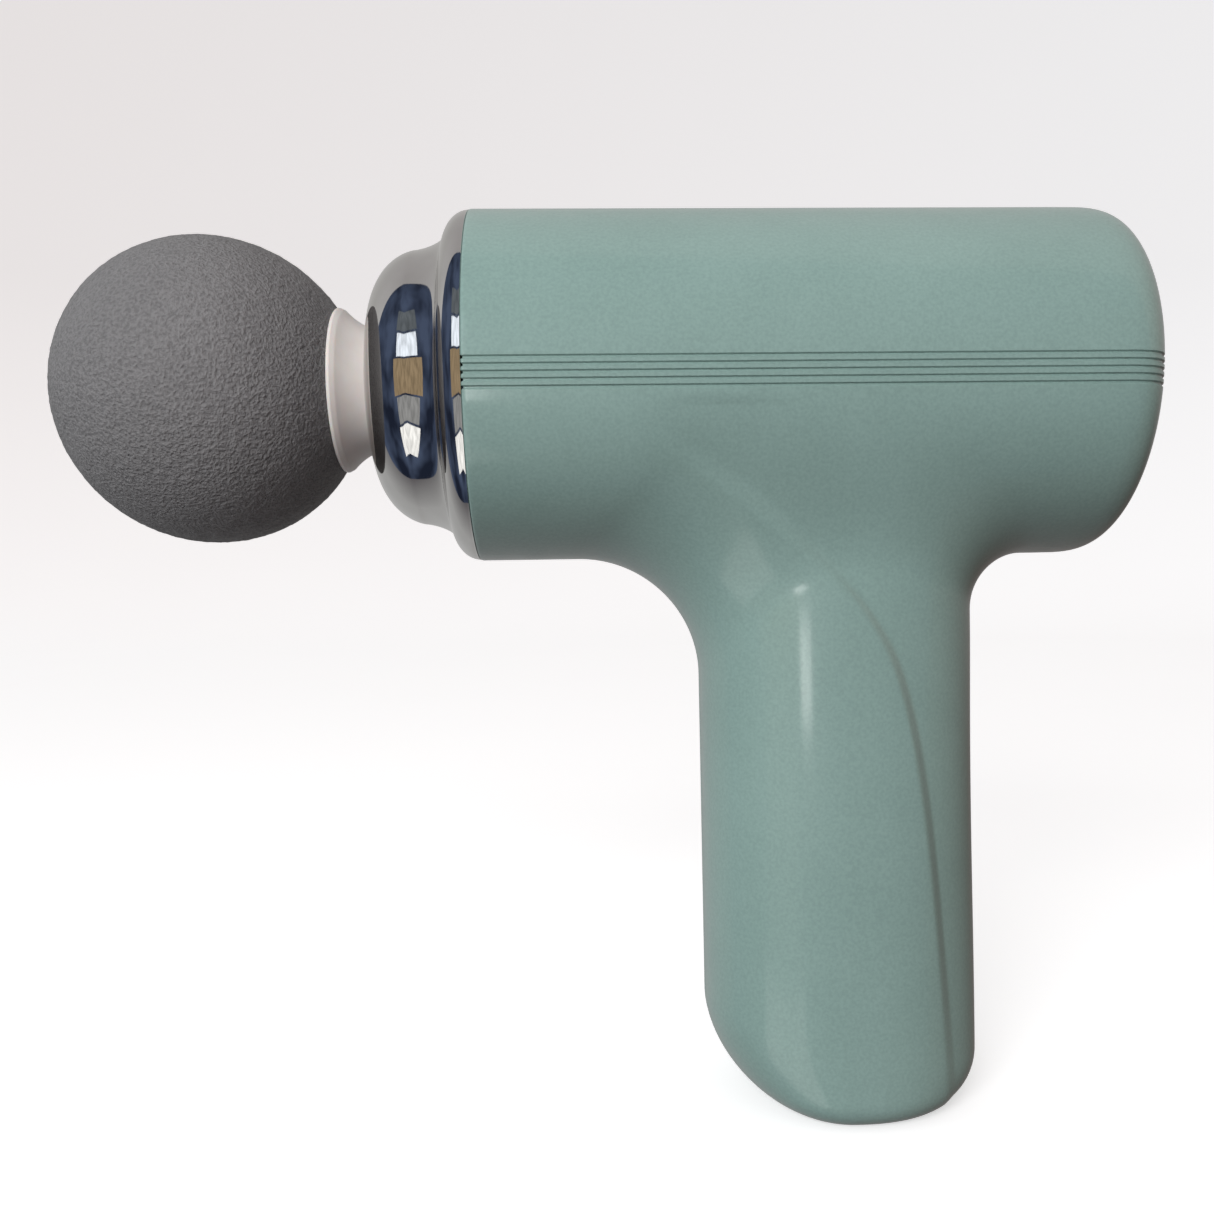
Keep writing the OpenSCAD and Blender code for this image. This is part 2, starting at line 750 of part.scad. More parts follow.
// Nickel straps that join the cell ends
module battery_straps() {
  color(steel) {
    block([-9, cell_y - 2.5, cell_low + cell_len], [9, cell_y + 2.5, cell_low + cell_len + 0.3]);
    for (s = [-1, 1])
      block([s * 7.2 - 3, cell_y - 2.5, cell_low - 0.3], [s * 7.2 + 3, cell_y + 2.5, cell_low]);
  }
}

// Insulating sheet between the cells and the board
module battery_sleeve() {
  color("khaki")
    block([-11.2, cell_y - cell_r - 0.6, cell_low], [11.2, cell_y - cell_r - 0.1, cell_low + cell_len - 2]);
}

module main_board() {
  color(board_green) block([-11.5, -5.4, 14], [11.5, -4.2, 61]);
}

// Chips, coil and connectors on the main board
module board_components() {
  color(rubber_black) {
    block([-4, -6.6, 40], [4, -5.4, 48]);
    for (i = [0 : 2]) block([-9 + i * 6.5, -6.4, 52], [-4.5 + i * 6.5, -5.4, 57]);
    block([-8, -9, 18], [-2, -5.4, 24]);
    translate([5, -5.4, 26]) rotate([90, 0, 0]) cylinder(r = 3, h = 3.2, $fn = 32);
    block([1, -8, 33], [7, -5.4, 36.5]);
  }
}

// Stamped shell of the charging socket with its contact tongue
module usb_port() {
  color(chrome) {
    difference() {
      block([usb_x - usb_w / 2, -usb_t / 2, 0.4], [usb_x + usb_w / 2, usb_t / 2, 7.6]);
      block([usb_x - usb_w / 2 + 0.3, -usb_t / 2 + 0.3, -1], [usb_x + usb_w / 2 - 0.3, usb_t / 2 - 0.3, 7]);
    }
    block([usb_x - 3.3, -0.35, 1.4], [usb_x + 3.3, 0.35, 7.2]);
  }
}

module usb_board() {
  color(board_green) block([1, usb_t / 2, 2.4], [14, usb_t / 2 + 1, 11.5]);
}

// Red and black leads from the cells to the main board
module battery_leads() {
  for (s = [-1, 1])
    color(s < 0 ? "black" : "red")
      wire([[s * 7.2, 3, cell_low - 0.7], [s * 7.2, -3.8, cell_low - 0.7], [s * 7.2, -3.8, 16]], 0.4);
}

left_shell();
right_shell();
front_collar();
collar_seal();
shell_screws();
screw_plugs();
drive_frame();
linear_bush();
front_damper();
rear_damper();
frame_screws();
motor_base();
motor_bearings();
stator_core();
stator_windings();
motor_wires();
rotor_bell();
rotor_magnets();
motor_shaft();
crank_wheel();
plunger();
wrist_pin();
socket_cushion();
connecting_rod();
small_end_bush();
crank_bearing();
crank_pin();
head_base();
ball_head();
head_o_ring();
power_button();
button_bezel();
tact_switch();
control_board();
light_guide();
control_cable();
battery_cells();
battery_straps();
battery_sleeve();
main_board();
board_components();
usb_port();
usb_board();
battery_leads();
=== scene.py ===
"""Looks of a pocket massage gun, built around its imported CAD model.

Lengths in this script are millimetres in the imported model's frame: Z up the handle from its base, -X along the
barrel towards the massage head, Y across. The helpers turn them into Blender's metres.
"""

import json
import math

import bmesh
import bpy
import numpy as np
from mathutils import Matrix, Vector, noise


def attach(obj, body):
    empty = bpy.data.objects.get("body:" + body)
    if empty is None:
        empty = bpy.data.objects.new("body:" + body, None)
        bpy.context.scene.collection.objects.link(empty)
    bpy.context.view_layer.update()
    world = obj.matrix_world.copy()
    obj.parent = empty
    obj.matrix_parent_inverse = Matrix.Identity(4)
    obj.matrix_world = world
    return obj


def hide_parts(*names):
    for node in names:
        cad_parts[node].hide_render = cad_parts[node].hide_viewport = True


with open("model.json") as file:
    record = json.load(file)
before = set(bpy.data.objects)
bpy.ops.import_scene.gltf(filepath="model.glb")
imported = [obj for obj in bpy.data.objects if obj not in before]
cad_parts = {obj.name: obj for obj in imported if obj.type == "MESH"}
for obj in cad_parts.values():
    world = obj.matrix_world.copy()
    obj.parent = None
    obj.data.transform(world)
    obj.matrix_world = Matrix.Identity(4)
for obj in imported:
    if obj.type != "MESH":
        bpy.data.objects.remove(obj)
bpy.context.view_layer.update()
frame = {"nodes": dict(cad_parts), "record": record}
MM = 0.001

# ---------- camera ----------

CAMERA_PLACE = (-34.013, -157.577, 70.463)
CAMERA_RIGHT = (0.999117, -0.039268, -0.014920)
CAMERA_UP = (0.017385, 0.063179, 0.997851)
LENS, SENSOR, SHIFT = 34.695, 36.0, (-0.0181, 0.0372)


def make_camera():
    data = bpy.data.cameras.new("camera")
    data.sensor_width, data.lens = SENSOR, LENS
    data.shift_x, data.shift_y = SHIFT
    data.clip_start = 0.01
    right = Vector(CAMERA_RIGHT)
    back = right.cross(Vector(CAMERA_UP)).normalized()
    turn = Matrix((right, back.cross(right), back)).transposed()
    camera = bpy.data.objects.new("camera", data)
    camera.matrix_world = Matrix.Translation(Vector(CAMERA_PLACE) * MM) @ turn.to_4x4()
    bpy.context.scene.collection.objects.link(camera)
    bpy.context.scene.camera = camera
    bpy.context.scene.view_settings.view_transform = "Standard"


make_camera()

# ---------- sizes shared with the CAD model ----------

AXIS_Z = 95.5
BARREL_R, FRONT_X, REAR_X = 22.5, -47.5, 37.0
CAP_LENGTH, CAP_POWER = 10.0, 4.4
CAP_X = REAR_X - CAP_LENGTH
WALL = 1.8
HANDLE_A, HANDLE_B, SECTION_POWER = 18.0, 15.5, 2.3
BASE_FRONT, BASE_RISE, BASE_POWER = 7.0, 13.0, 1.75
BASE_REAR_W, BASE_REAR_H, BASE_SIDE_R = 6.5, 7.0, 3.5
LEAN_H, SWELL, LEAN = 70.0, 0.25, 0.8
FILLET_FRONT, FILLET_REAR, FILLET_SIDE = 16.0, 8.0, 7.0
GROOVES, PITCH, GROOVE_W, GROOVE_DEPTH, GROOVE_DROP = 5, 0.85, 0.4, 0.25, 1.5
COLLAR_X, COLLAR_HOLE_R = -60.6, 8.6
NECK_X, STEM_R, STEM_LEN, SPIGOT_X, SPIGOT_R = -57.0, 6.0, 14.0, -76.0, 5.0
BALL_X, BALL_R, FLANGE_R = -82.0, 19.7, 10.6
BEZEL_R, BUTTON_R = 7.4, 5.8
LED_R, LED_ANGLES, LED_HOLE_R, LIGHT_PIN_R = 9.6, (-36, -12, 12, 36), 0.85, 0.8
LIGHT_BAR_BACK, LIGHT_BAR_FRONT = REAR_X - 5.85, REAR_X - 4.1
USB_X, USB_HALF_W, USB_HALF_T = 5.6, 4.8, 1.95
BARREL_SCREWS = ((-36.0, 16.4), (-36.0, -16.4), (26.0, 12.5), (26.5, -16.6))
HANDLE_SCREW = (-3.5, 8.0)
WELL_R = 2.6


# ---------- mesh helpers ----------


def new_object(name, points, faces):
    """An object from points in millimetres and faces of point numbers."""
    mesh = bpy.data.meshes.new(name)
    mesh.from_pydata((np.asarray(points, float) * MM).tolist(), [], [[int(i) for i in f] for f in faces])
    mesh.update()
    obj = bpy.data.objects.new(name, mesh)
    bpy.context.scene.collection.objects.link(obj)
    return obj


def closed_piece(name, geometry):
    """An object made from closed (points, faces), its faces turned outwards."""
    obj = new_object(name, *geometry)
    bm = bmesh.new()
    bm.from_mesh(obj.data)
    bmesh.ops.recalc_face_normals(bm, faces=bm.faces)
    bm.to_mesh(obj.data)
    bm.free()
    return obj


def shade(obj, sharp=40.0):
    """Smooth shading, with edges steeper than the angle kept sharp and the faces turned outwards."""
    bm = bmesh.new()
    bm.from_mesh(obj.data)
    bmesh.ops.recalc_face_normals(bm, faces=bm.faces)
    for face in bm.faces:
        face.smooth = True
    for edge in bm.edges:
        edge.smooth = len(edge.link_faces) == 2 and edge.calc_face_angle(0.0) < math.radians(sharp)
    bm.to_mesh(obj.data)
    bm.free()


def declare(obj, body, slot, nodes):
    """Puts a finished piece on its body, with its material, in place of the CAD nodes."""
    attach(obj, body)
    obj.data.materials.clear()
    obj.data.materials.append(materials[slot])
    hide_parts(*nodes)


def cut(obj, name, geometry):
    """Cuts a closed shape from the object."""
    tool = closed_piece(name, geometry)
    mod = obj.modifiers.new("cut", "BOOLEAN")
    mod.operation, mod.solver, mod.object = "DIFFERENCE", "MANIFOLD", tool
    graph = bpy.context.evaluated_depsgraph_get()
    mesh = bpy.data.meshes.new_from_object(obj.evaluated_get(graph))
    obj.modifiers.clear()
    obj.data = mesh
    bpy.data.objects.remove(tool)


def around(count):
    """Even angles round a circle."""
    return np.arange(count) * 2 * math.pi / count


def band(a, b, count):
    """Faces between two rings of points, whose first points are a and b."""
    return [(a + k, a + (k + 1) % count, b + (k + 1) % count, b + k) for k in range(count)]


def lids(a, b, count):
    """Faces that close the first ring and the last one."""
    return [tuple(range(a, a + count))[::-1], tuple(range(b, b + count))]


def arc(cx, cy, r, start, stop, steps):
    angles = np.radians(np.linspace(start, stop, steps + 1))
    return [(cx + r * math.cos(a), cy + r * math.sin(a)) for a in angles]


def turned(profile, segments, closed=False):
    """Turns (x, r) points about the barrel's axis. A point with r = 0 becomes one vertex."""
    points, rows, faces = [], [], []
    for x, r in profile:
        if r < 1e-9:
            rows.append([len(points)] * segments)
            points.append((x, 0.0, AXIS_Z))
        else:
            rows.append(list(range(len(points), len(points) + segments)))
            points += [(x, r * math.sin(a), AXIS_Z + r * math.cos(a)) for a in around(segments)]
    pairs = list(zip(rows[:-1], rows[1:])) + ([(rows[-1], rows[0])] if closed else [])
    for a, b in pairs:
        for k in range(segments):
            n = (k + 1) % segments
            face = list(dict.fromkeys((a[k], a[n], b[n], b[k])))
            if len(face) > 2:
                faces.append(face)
    return points, faces


def rod(start, stop, r, spokes=48):
    """A closed round rod between two points."""
    start, stop = Vector(start), Vector(stop)
    along = (stop - start).normalized()
    side = along.orthogonal().normalized()
    across = along.cross(side)
    points = [tuple(c + (side * math.cos(a) + across * math.sin(a)) * r) for c in (start, stop)
              for a in around(spokes)]
    return points, band(0, spokes, spokes) + lids(0, spokes, spokes)


def box(low, high, first):
    """A closed box whose points start at number first."""
    points = [(x, y, z) for x in (low[0], high[0]) for y in (low[1], high[1]) for z in (low[2], high[2])]
    sides = ((0, 1, 3, 2), (4, 6, 7, 5), (0, 4, 5, 1), (2, 3, 7, 6), (0, 2, 6, 4), (1, 5, 7, 3))
    return points, [tuple(first + k for k in side) for side in sides]


# ---------- materials ----------


class Nodes:
    """Short calls for building one material's node tree."""

    def __init__(self, name):
        self.material = bpy.data.materials.new(name)
        self.material.use_nodes = True
        self.tree = self.material.node_tree
        self.shader = self.tree.nodes["Principled BSDF"]
        self.place = self.add("ShaderNodeTexCoord").outputs["Object"]

    def add(self, kind, **settings):
        node = self.tree.nodes.new(kind)
        for key, value in settings.items():
            setattr(node, key, value)
        return node

    def link(self, source, target):
        self.tree.links.new(source, target)
        return source

    def noise(self, scale, detail=2.0, rough=0.5, stretch=(1, 1, 1)):
        """Noise whose cells are about 1/scale metres."""
        node = self.add("ShaderNodeTexNoise")
        node.inputs["Scale"].default_value = scale
        node.inputs["Detail"].default_value = detail
        node.inputs["Roughness"].default_value = rough
        source = self.place
        if stretch != (1, 1, 1):
            mapping = self.add("ShaderNodeMapping")
            mapping.inputs["Scale"].default_value = stretch
            self.link(self.place, mapping.inputs["Vector"])
            source = mapping.outputs["Vector"]
        self.link(source, node.inputs["Vector"])
        return node.outputs["Fac"]

    def cells(self, scale, feature="F1"):
        """Distance pattern of cells about 1/scale metres across."""
        node = self.add("ShaderNodeTexVoronoi", feature=feature)
        node.inputs["Scale"].default_value = scale
        self.link(self.place, node.inputs["Vector"])
        return node.outputs["Distance"]

    def spread(self, value, low, high, out_low=0.0, out_high=1.0):
        """The value's range from low to high, stretched to the outer range and clipped."""
        node = self.add("ShaderNodeMapRange")
        for key, number in zip(("From Min", "From Max", "To Min", "To Max"), (low, high, out_low, out_high)):
            node.inputs[key].default_value = number
        self.link(value, node.inputs["Value"])
        return node.outputs["Result"]

    def mix(self, factor, a, b):
        node = self.add("ShaderNodeMix", data_type="RGBA")
        self.link(factor, node.inputs["Factor"])
        for socket, colour in ((node.inputs["A"], a), (node.inputs["B"], b)):
            if isinstance(colour, tuple):
                socket.default_value = (*colour, 1.0)
            else:
                self.link(colour, socket)
        return node.outputs["Result"]

    def multiply(self, a, b):
        node = self.add("ShaderNodeMix", data_type="RGBA", blend_type="MULTIPLY")
        node.inputs["Factor"].default_value = 1.0
        self.link(a, node.inputs["A"])
        self.link(b, node.inputs["B"])
        return node.outputs["Result"]

    def colour(self, source):
        self.link(source, self.shader.inputs["Base Color"])

    def rough(self, source):
        self.link(source, self.shader.inputs["Roughness"])

    def bump(self, height, distance, strength=1.0, after=None):
        """Relief of a depth in millimetres, on top of an earlier one if there is one."""
        node = self.add("ShaderNodeBump")
        node.inputs["Strength"].default_value = strength
        node.inputs["Distance"].default_value = distance * MM
        self.link(height, node.inputs["Height"])
        if after is not None:
            self.link(after, node.inputs["Normal"])
        self.link(node.outputs["Normal"], self.shader.inputs["Normal"])
        return node.outputs["Normal"]

    def glow(self, source, strength=1.0):
        """Makes the material a plain light source."""
        node = self.add("ShaderNodeEmission")
        node.inputs["Strength"].default_value = strength
        self.link(source, node.inputs["Color"])
        self.link(node.outputs["Emission"], self.tree.nodes["Material Output"].inputs["Surface"])
        return self

    def set(self, **values):
        """Values of the shader's inputs, with _ for each space in a name."""
        for key, value in values.items():
            self.shader.inputs[key.replace("_", " ")].default_value = value
        return self


class Sky(Nodes):
    """The same short calls for the world, where a place is a direction."""

    def __init__(self, world):
        world.use_nodes = True
        self.tree = world.node_tree
        self.place = self.add("ShaderNodeTexCoord").outputs["Generated"]


def linear(r, g, b):
    """An sRGB colour of 0 to 255 as Blender's linear values."""
    return tuple((v / 255 / 12.92) if v <= 10 else ((v / 255 + 0.055) / 1.055) ** 2.4 for v in (r, g, b))


def shell_plastic(name):
    """Sage green satin plastic with a fine grain, a thin soft coat and rare specks of dust."""
    n = Nodes(name)
    drift = n.mix(n.spread(n.noise(45, 3), 0.35, 0.65), linear(132, 161, 155), linear(137, 166, 160))
    fleck = n.mix(n.spread(n.noise(2600, 1), 0.3, 0.7), (0.93, 0.93, 0.93), (1.05, 1.05, 1.05))
    tint = n.multiply(drift, fleck)
    dust = n.spread(n.cells(150), 0.028, 0.045, 1.0, 0.0)
    rare = n.spread(n.noise(60, 0), 0.62, 0.66)
    spot = n.add("ShaderNodeMath", operation="MULTIPLY")
    n.link(dust, spot.inputs[0])
    n.link(rare, spot.inputs[1])
    n.colour(n.mix(spot.outputs["Value"], tint, linear(84, 96, 92)))
    n.rough(n.spread(n.noise(320, 3), 0.3, 0.7, 0.36, 0.44))
    grain = n.bump(n.noise(3600, 2, 0.6), 0.012, 0.5)
    n.bump(n.noise(700, 2), 0.02, 0.25, grain)
    return n.set(Specular_IOR_Level=0.4, Coat_Weight=0.6, Coat_Roughness=0.13).material


def foam(name):
    """Dense grey foam with a wrinkled skin."""
    n = Nodes(name)
    wrinkle, fine = n.noise(2600), n.noise(6000)
    tone = n.mix(n.spread(wrinkle, 0.34, 0.6), linear(107, 108, 109), linear(125, 126, 127))
    patch = n.spread(n.noise(70), 0.3, 0.7, 0.95, 1.05)
    n.colour(n.multiply(tone, patch))
    n.rough(n.spread(n.noise(500), 0.3, 0.7, 0.55, 0.7))
    n.bump(fine, 0.03, 0.5, n.bump(wrinkle, 0.34))
    return n.set(Specular_IOR_Level=0.4).material


def metal(name, low, high, rough, stretch=(1, 1, 1), scale=900, bump=0.003):
    """Metal whose colour and roughness vary a little, brushed where stretch isn't 1."""
    n = Nodes(name)
    n.colour(n.mix(n.spread(n.noise(scale, 3, stretch=stretch), 0.3, 0.7), low, high))
    n.rough(n.spread(n.noise(scale * 0.6, 3, stretch=stretch), 0.3, 0.7, *rough))
    n.bump(n.noise(scale * 1.5, 2, stretch=stretch), bump, 0.5)
    return n.set(Metallic=1.0).material


def plastic(name, low, high, rough, grain=0.01, scale=1800, **values):
    """Moulded plastic or rubber with a fine grain."""
    n = Nodes(name)
    n.colour(n.mix(n.spread(n.noise(scale * 0.1, 3), 0.3, 0.7), low, high))
    n.rough(n.spread(n.noise(scale * 0.25, 2), 0.3, 0.7, *rough))
    n.bump(n.noise(scale, 2), grain, 0.5)
    return n.set(**values).material


def circuit_board(name):
    """Green solder mask over a pattern of copper."""
    n = Nodes(name)
    copper = n.spread(n.cells(700, "DISTANCE_TO_EDGE"), 0.03, 0.06)
    n.colour(n.mix(copper, linear(34, 96, 62), linear(16, 66, 40)))
    n.rough(n.spread(n.noise(600), 0.3, 0.7, 0.3, 0.42))
    n.bump(copper, 0.03, 0.4)
    return n.material


def cell_wrap(name):
    """Blue shrink wrap of the battery cells, with long folds."""
    n = Nodes(name)
    fold = n.noise(160, 3, 0.6, (1, 1, 0.2))
    n.colour(n.mix(n.spread(fold, 0.35, 0.65), linear(40, 92, 150), linear(56, 112, 172)))
    n.rough(n.spread(n.noise(300), 0.3, 0.7, 0.22, 0.34))
    n.bump(fold, 0.05, 0.4)
    return n.material


def winding(name):
    """Turns of copper wire, one above the other."""
    n = Nodes(name)
    wave = n.add("ShaderNodeTexWave", wave_type="BANDS", bands_direction="Z")
    wave.inputs["Scale"].default_value = 900
    n.link(n.place, wave.inputs["Vector"])
    n.colour(n.mix(wave.outputs["Fac"], linear(120, 58, 30), linear(214, 128, 74)))
    n.rough(n.spread(n.noise(400), 0.3, 0.7, 0.25, 0.4))
    n.bump(wave.outputs["Fac"], 0.1, 0.8)
    return n.set(Metallic=0.9).material


materials = {
    "shell_green": shell_plastic("shell_green"),
    "collar_chrome": metal("collar_chrome", (0.58, 0.575, 0.56), (0.62, 0.615, 0.60), (0.03, 0.06), scale=250,
                           bump=0.001),
    "black_rubber": plastic("black_rubber", linear(34, 34, 36), linear(46, 46, 48), (0.6, 0.75), 0.03),
    "screw_steel": metal("screw_steel", linear(150, 151, 154), linear(178, 179, 182), (0.25, 0.38)),
    "plunger_aluminium": metal("plunger_aluminium", linear(196, 198, 201), linear(216, 218, 220), (0.18, 0.28),
                               (0.05, 1, 1), 2500),
    "frame_aluminium": metal("frame_aluminium", linear(168, 170, 172), linear(190, 191, 193), (0.4, 0.55),
                             scale=1600, bump=0.02),
    "bush_bronze": metal("bush_bronze", linear(150, 108, 60), linear(178, 134, 80), (0.35, 0.5), scale=2600,
                         bump=0.01),
    "copper_wire": winding("copper_wire"),
    "wire_red": plastic("wire_red", linear(158, 30, 28), linear(178, 40, 36), (0.35, 0.45)),
    "cable_grey": plastic("cable_grey", linear(146, 148, 150), linear(164, 166, 168), (0.4, 0.5)),
    "head_white": plastic("head_white", linear(224, 219, 214), linear(232, 228, 224), (0.3, 0.4), 0.006, 2200,
                          Subsurface_Weight=0.12, Subsurface_Scale=0.0015),
    "ball_foam": foam("ball_foam"),
    "button_grey": plastic("button_grey", linear(196, 198, 197), linear(206, 208, 207), (0.34, 0.42)),
    "black_plastic": plastic("black_plastic", linear(26, 26, 28), linear(38, 38, 40), (0.4, 0.52)),
    "clear_plastic": plastic("clear_plastic", (0.80, 0.88, 0.84), (0.86, 0.92, 0.89), (0.12, 0.2), 0.002,
                             Transmission_Weight=0.55, IOR=1.49),
    "board_green": circuit_board("board_green"),
    "cell_wrap": cell_wrap("cell_wrap"),
    "insulator": plastic("insulator", linear(196, 186, 150), linear(210, 200, 166), (0.5, 0.6), 0.02, 900),
}
slot_of = {part["node"]: part["material_slot"] for part in frame["record"]["subparts"]}
for node, obj in frame["nodes"].items():
    obj.data.materials.clear()
    obj.data.materials.append(materials[slot_of[node]])


# ---------- surface of the body ----------


def ease(t):
    """A smooth step from 0 to 1."""
    t = np.clip(t, 0.0, 1.0)
    return t * t * (3 - 2 * t)


def rise(z, height, low, full, power=2.0):
    """A quarter superellipse from low at z = 0 to full at the height."""
    t = np.clip(z / height, 0.0, 1.0)
    return low + (full - low) * (1 - (1 - t) ** power) ** (1 / power)


def handle_halves(z):
    """Centre in x and the half widths to the front, rear and side of the handle at height z."""
    t = np.clip(z / LEAN_H, 0.0, 1.0)
    swell = SWELL * (1 - t)
    return (LEAN * (0.3 - t), rise(z, BASE_RISE, BASE_FRONT, HANDLE_A, BASE_POWER) + swell,
            rise(z, BASE_REAR_H, HANDLE_A - BASE_REAR_W, HANDLE_A) + swell,
            rise(z, BASE_SIDE_R, HANDLE_B - BASE_SIDE_R, HANDLE_B) + swell)


def section(t, z):
    """Points on the left of the handle at height z; t runs from pi at the front to 0 at the rear."""
    centre, front, rear, side = handle_halves(z)
    c, s = np.cos(t), np.sin(t)
    x = centre + np.where(c < 0, front, rear) * np.sign(c) * np.abs(c) ** (2 / SECTION_POWER)
    return np.stack([x, -side * np.abs(s) ** (2 / SECTION_POWER), z + 0 * t], -1)


def field(p):
    """About the distance from the barrel and handle, joined by a round fillet."""
    x, y, z = p.T
    centre, front, rear, side = handle_halves(z)
    dx = x - centre
    g = (np.abs(dx / np.where(dx < 0, front, rear)) ** SECTION_POWER
         + np.abs(y / side) ** SECTION_POWER) ** (1 / SECTION_POWER)
    rho = np.hypot(dx, y) + 1e-9
    handle = rho * (1 - 1 / np.maximum(g, 1e-3))
    barrel = np.hypot(y, z - AXIS_Z) - BARREL_R
    to_front = ease(0.5 - 1.2 * dx / rho)
    along_r = to_front * FILLET_FRONT + (1 - to_front) * FILLET_REAR
    r = (dx / rho) ** 2 * along_r + (y / rho) ** 2 * FILLET_SIDE
    return (np.maximum(r, np.minimum(barrel, handle))
            - np.hypot(np.maximum(r - barrel, 0), np.maximum(r - handle, 0)))


def settle(points, rounds=8, in_plane=None):
    """Moves points onto the surface along its gradient; those in_plane stay at y = 0."""
    probe = 0.02
    for _ in range(rounds):
        slope = np.stack([(field(points + d) - field(points - d)) / (2 * probe) for d in np.eye(3) * probe], -1)
        if in_plane is not None:
            slope[in_plane, 1] = 0
        points = points - (field(points) / np.maximum((slope ** 2).sum(1), 1e-6))[:, None] * slope
    return points


def spaced(start, stop, step):
    """Even numbers from start up to stop, stop left out."""
    return list(np.linspace(start, stop, max(1, round(abs(stop - start) / step)) + 1)[:-1])


# Crease of the grip, seen from the side: x and z, the height of its step and its width
CREASE = np.array([(-27, 88.3, 0.0, 3.0), (-15.2, 80.7, 0.55, 2.2), (-4.2, 71.5, 0.7, 1.6),
                   (1.7, 64.6, 0.72, 1.4), (5.6, 56.3, 0.74, 1.5), (8.8, 41.3, 0.74, 1.7),
                   (11.3, 18.6, 0.62, 1.8), (13.2, -6.0, 0.0, 1.8)])


def crease_line():
    """A smooth curve through the crease's points, as many short straight lines."""
    ends = np.vstack([2 * CREASE[0] - CREASE[1], CREASE, 2 * CREASE[-1] - CREASE[-2]])
    line = []
    for a, b, c, d in zip(ends, ends[1:], ends[2:], ends[3:]):
        for t in np.linspace(0, 1, 13)[:-1]:
            line.append(0.5 * (2 * b + (c - a) * t + (2 * a - 5 * b + 4 * c - d) * t ** 2
                               + (3 * b - a - 3 * c + d) * t ** 3))
    return np.array(line + [CREASE[-1]])


LINE = crease_line()


def from_crease(p):
    """Signed distance behind the crease in the side view, its direction, and the step's height and width."""
    best = np.full(len(p), 1e9)
    found = np.zeros((len(p), 5))
    for a, b in zip(LINE[:-1], LINE[1:]):
        d = (b - a)[:2]
        t = np.clip(((p[:, 0] - a[0]) * d[0] + (p[:, 2] - a[1]) * d[1]) / (d @ d), 0, 1)[:, None]
        near = a + t * (b - a)
        off = p[:, [0, 2]] - near[:, :2]
        far = np.hypot(*off.T)
        across = np.array([-d[1], d[0]]) / np.hypot(*d)
        signed = off @ across
        rows = np.column_stack([np.where(signed < 0, -far, far), np.tile(across, (len(p), 1)), near[:, 2:]])
        closer = far < best
        best[closer], found[closer] = far[closer], rows[closer]
    return found


def crease_depth(p):
    """How deep the surface behind the grip panel lies under the plain handle."""
    reach_above, reach_at_base, above_z, middle_strip = 13.0, 5.0, 60, 3.0
    distance, _, _, height, width = from_crease(p).T
    reach = reach_above - (reach_above - reach_at_base) * ease((above_z - p[:, 2]) / above_z)
    fade = (1 - np.clip(distance / reach, 0, 1) ** 2) ** 2
    across = distance / width + 0.5
    step = 0.3 * ease(across) + 0.7 * np.clip(across, 0, 1)
    return height * step * fade * ease(np.abs(p[:, 1]) / middle_strip)


def gather_at_crease(p):
    """Slides points towards the crease, so that the mesh is finest where its step is."""
    strength, reach = 0.62, 1.7
    distance, ax, az, height, _ = from_crease(p).T
    pull = (-strength * distance * np.exp(-(distance / reach) ** 2) * ease(height / 0.2)
            * ease((-p[:, 1] - 2) / 3))
    return p + np.stack([pull * ax, 0 * pull, pull * az], -1)


def groove_depth(height):
    """Depth of the long grooves at a height above the middle one."""
    nearest = np.clip(np.round(height / PITCH), -(GROOVES // 2), GROOVES // 2)
    off = np.abs(height - PITCH * nearest) / (GROOVE_W / 2)
    return GROOVE_DEPTH * np.interp(off, [0.0, 0.45, 0.85, 1.2], [1.0, 0.97, 0.35, 0.0])


# ---------- left half of the body as a grid ----------

# The hole in the barrel's grid where the handle's columns start: its ends in x, its top as an angle
HOLE_FRONT, HOLE_REAR, HOLE_TOP = -37.0, 27.0, 112.0
STEP = 0.6  # spacing of the grid along the barrel and down the handle
LOW_Z = 54.0  # height where the fillet has ended and the plain handle begins
EDGE_R, EDGE_STATIONS = 0.3, 5  # rounded front edge of the barrel
ROWS_TO_HOLE = 8  # rows between the grooves' band and the hole
# Rows of the grid across each groove, in half widths, and the edge of their band
OVER_GROOVE, BAND_EDGE, ROW_GAP = (-1.2, -0.85, -0.45, 0, 0.45, 0.85, 1.2), 2.3, 0.9

stations = [(FRONT_X + EDGE_R - EDGE_R * math.cos(a), BARREL_R - EDGE_R + EDGE_R * math.sin(a))
            for a in np.linspace(0, math.pi / 2, EDGE_STATIONS)]
stations += [(x, BARREL_R) for x in spaced(FRONT_X + 0.8, HOLE_FRONT, STEP)]
hole_a = len(stations)
stations += [(x, BARREL_R) for x in spaced(HOLE_FRONT, HOLE_REAR, STEP)]
hole_b = len(stations)
stations += [(HOLE_REAR, BARREL_R)]
cap_end = math.acos((BEZEL_R / BARREL_R) ** (CAP_POWER / 2))
for a in cap_end * np.linspace(0, 1, 40) ** 0.85:
    x, r = CAP_X + CAP_LENGTH * math.sin(a) ** (2 / CAP_POWER), BARREL_R * math.cos(a) ** (2 / CAP_POWER)
    if x > HOLE_REAR + 0.3:
        stations.append((x, r))
stations = np.array(stations)

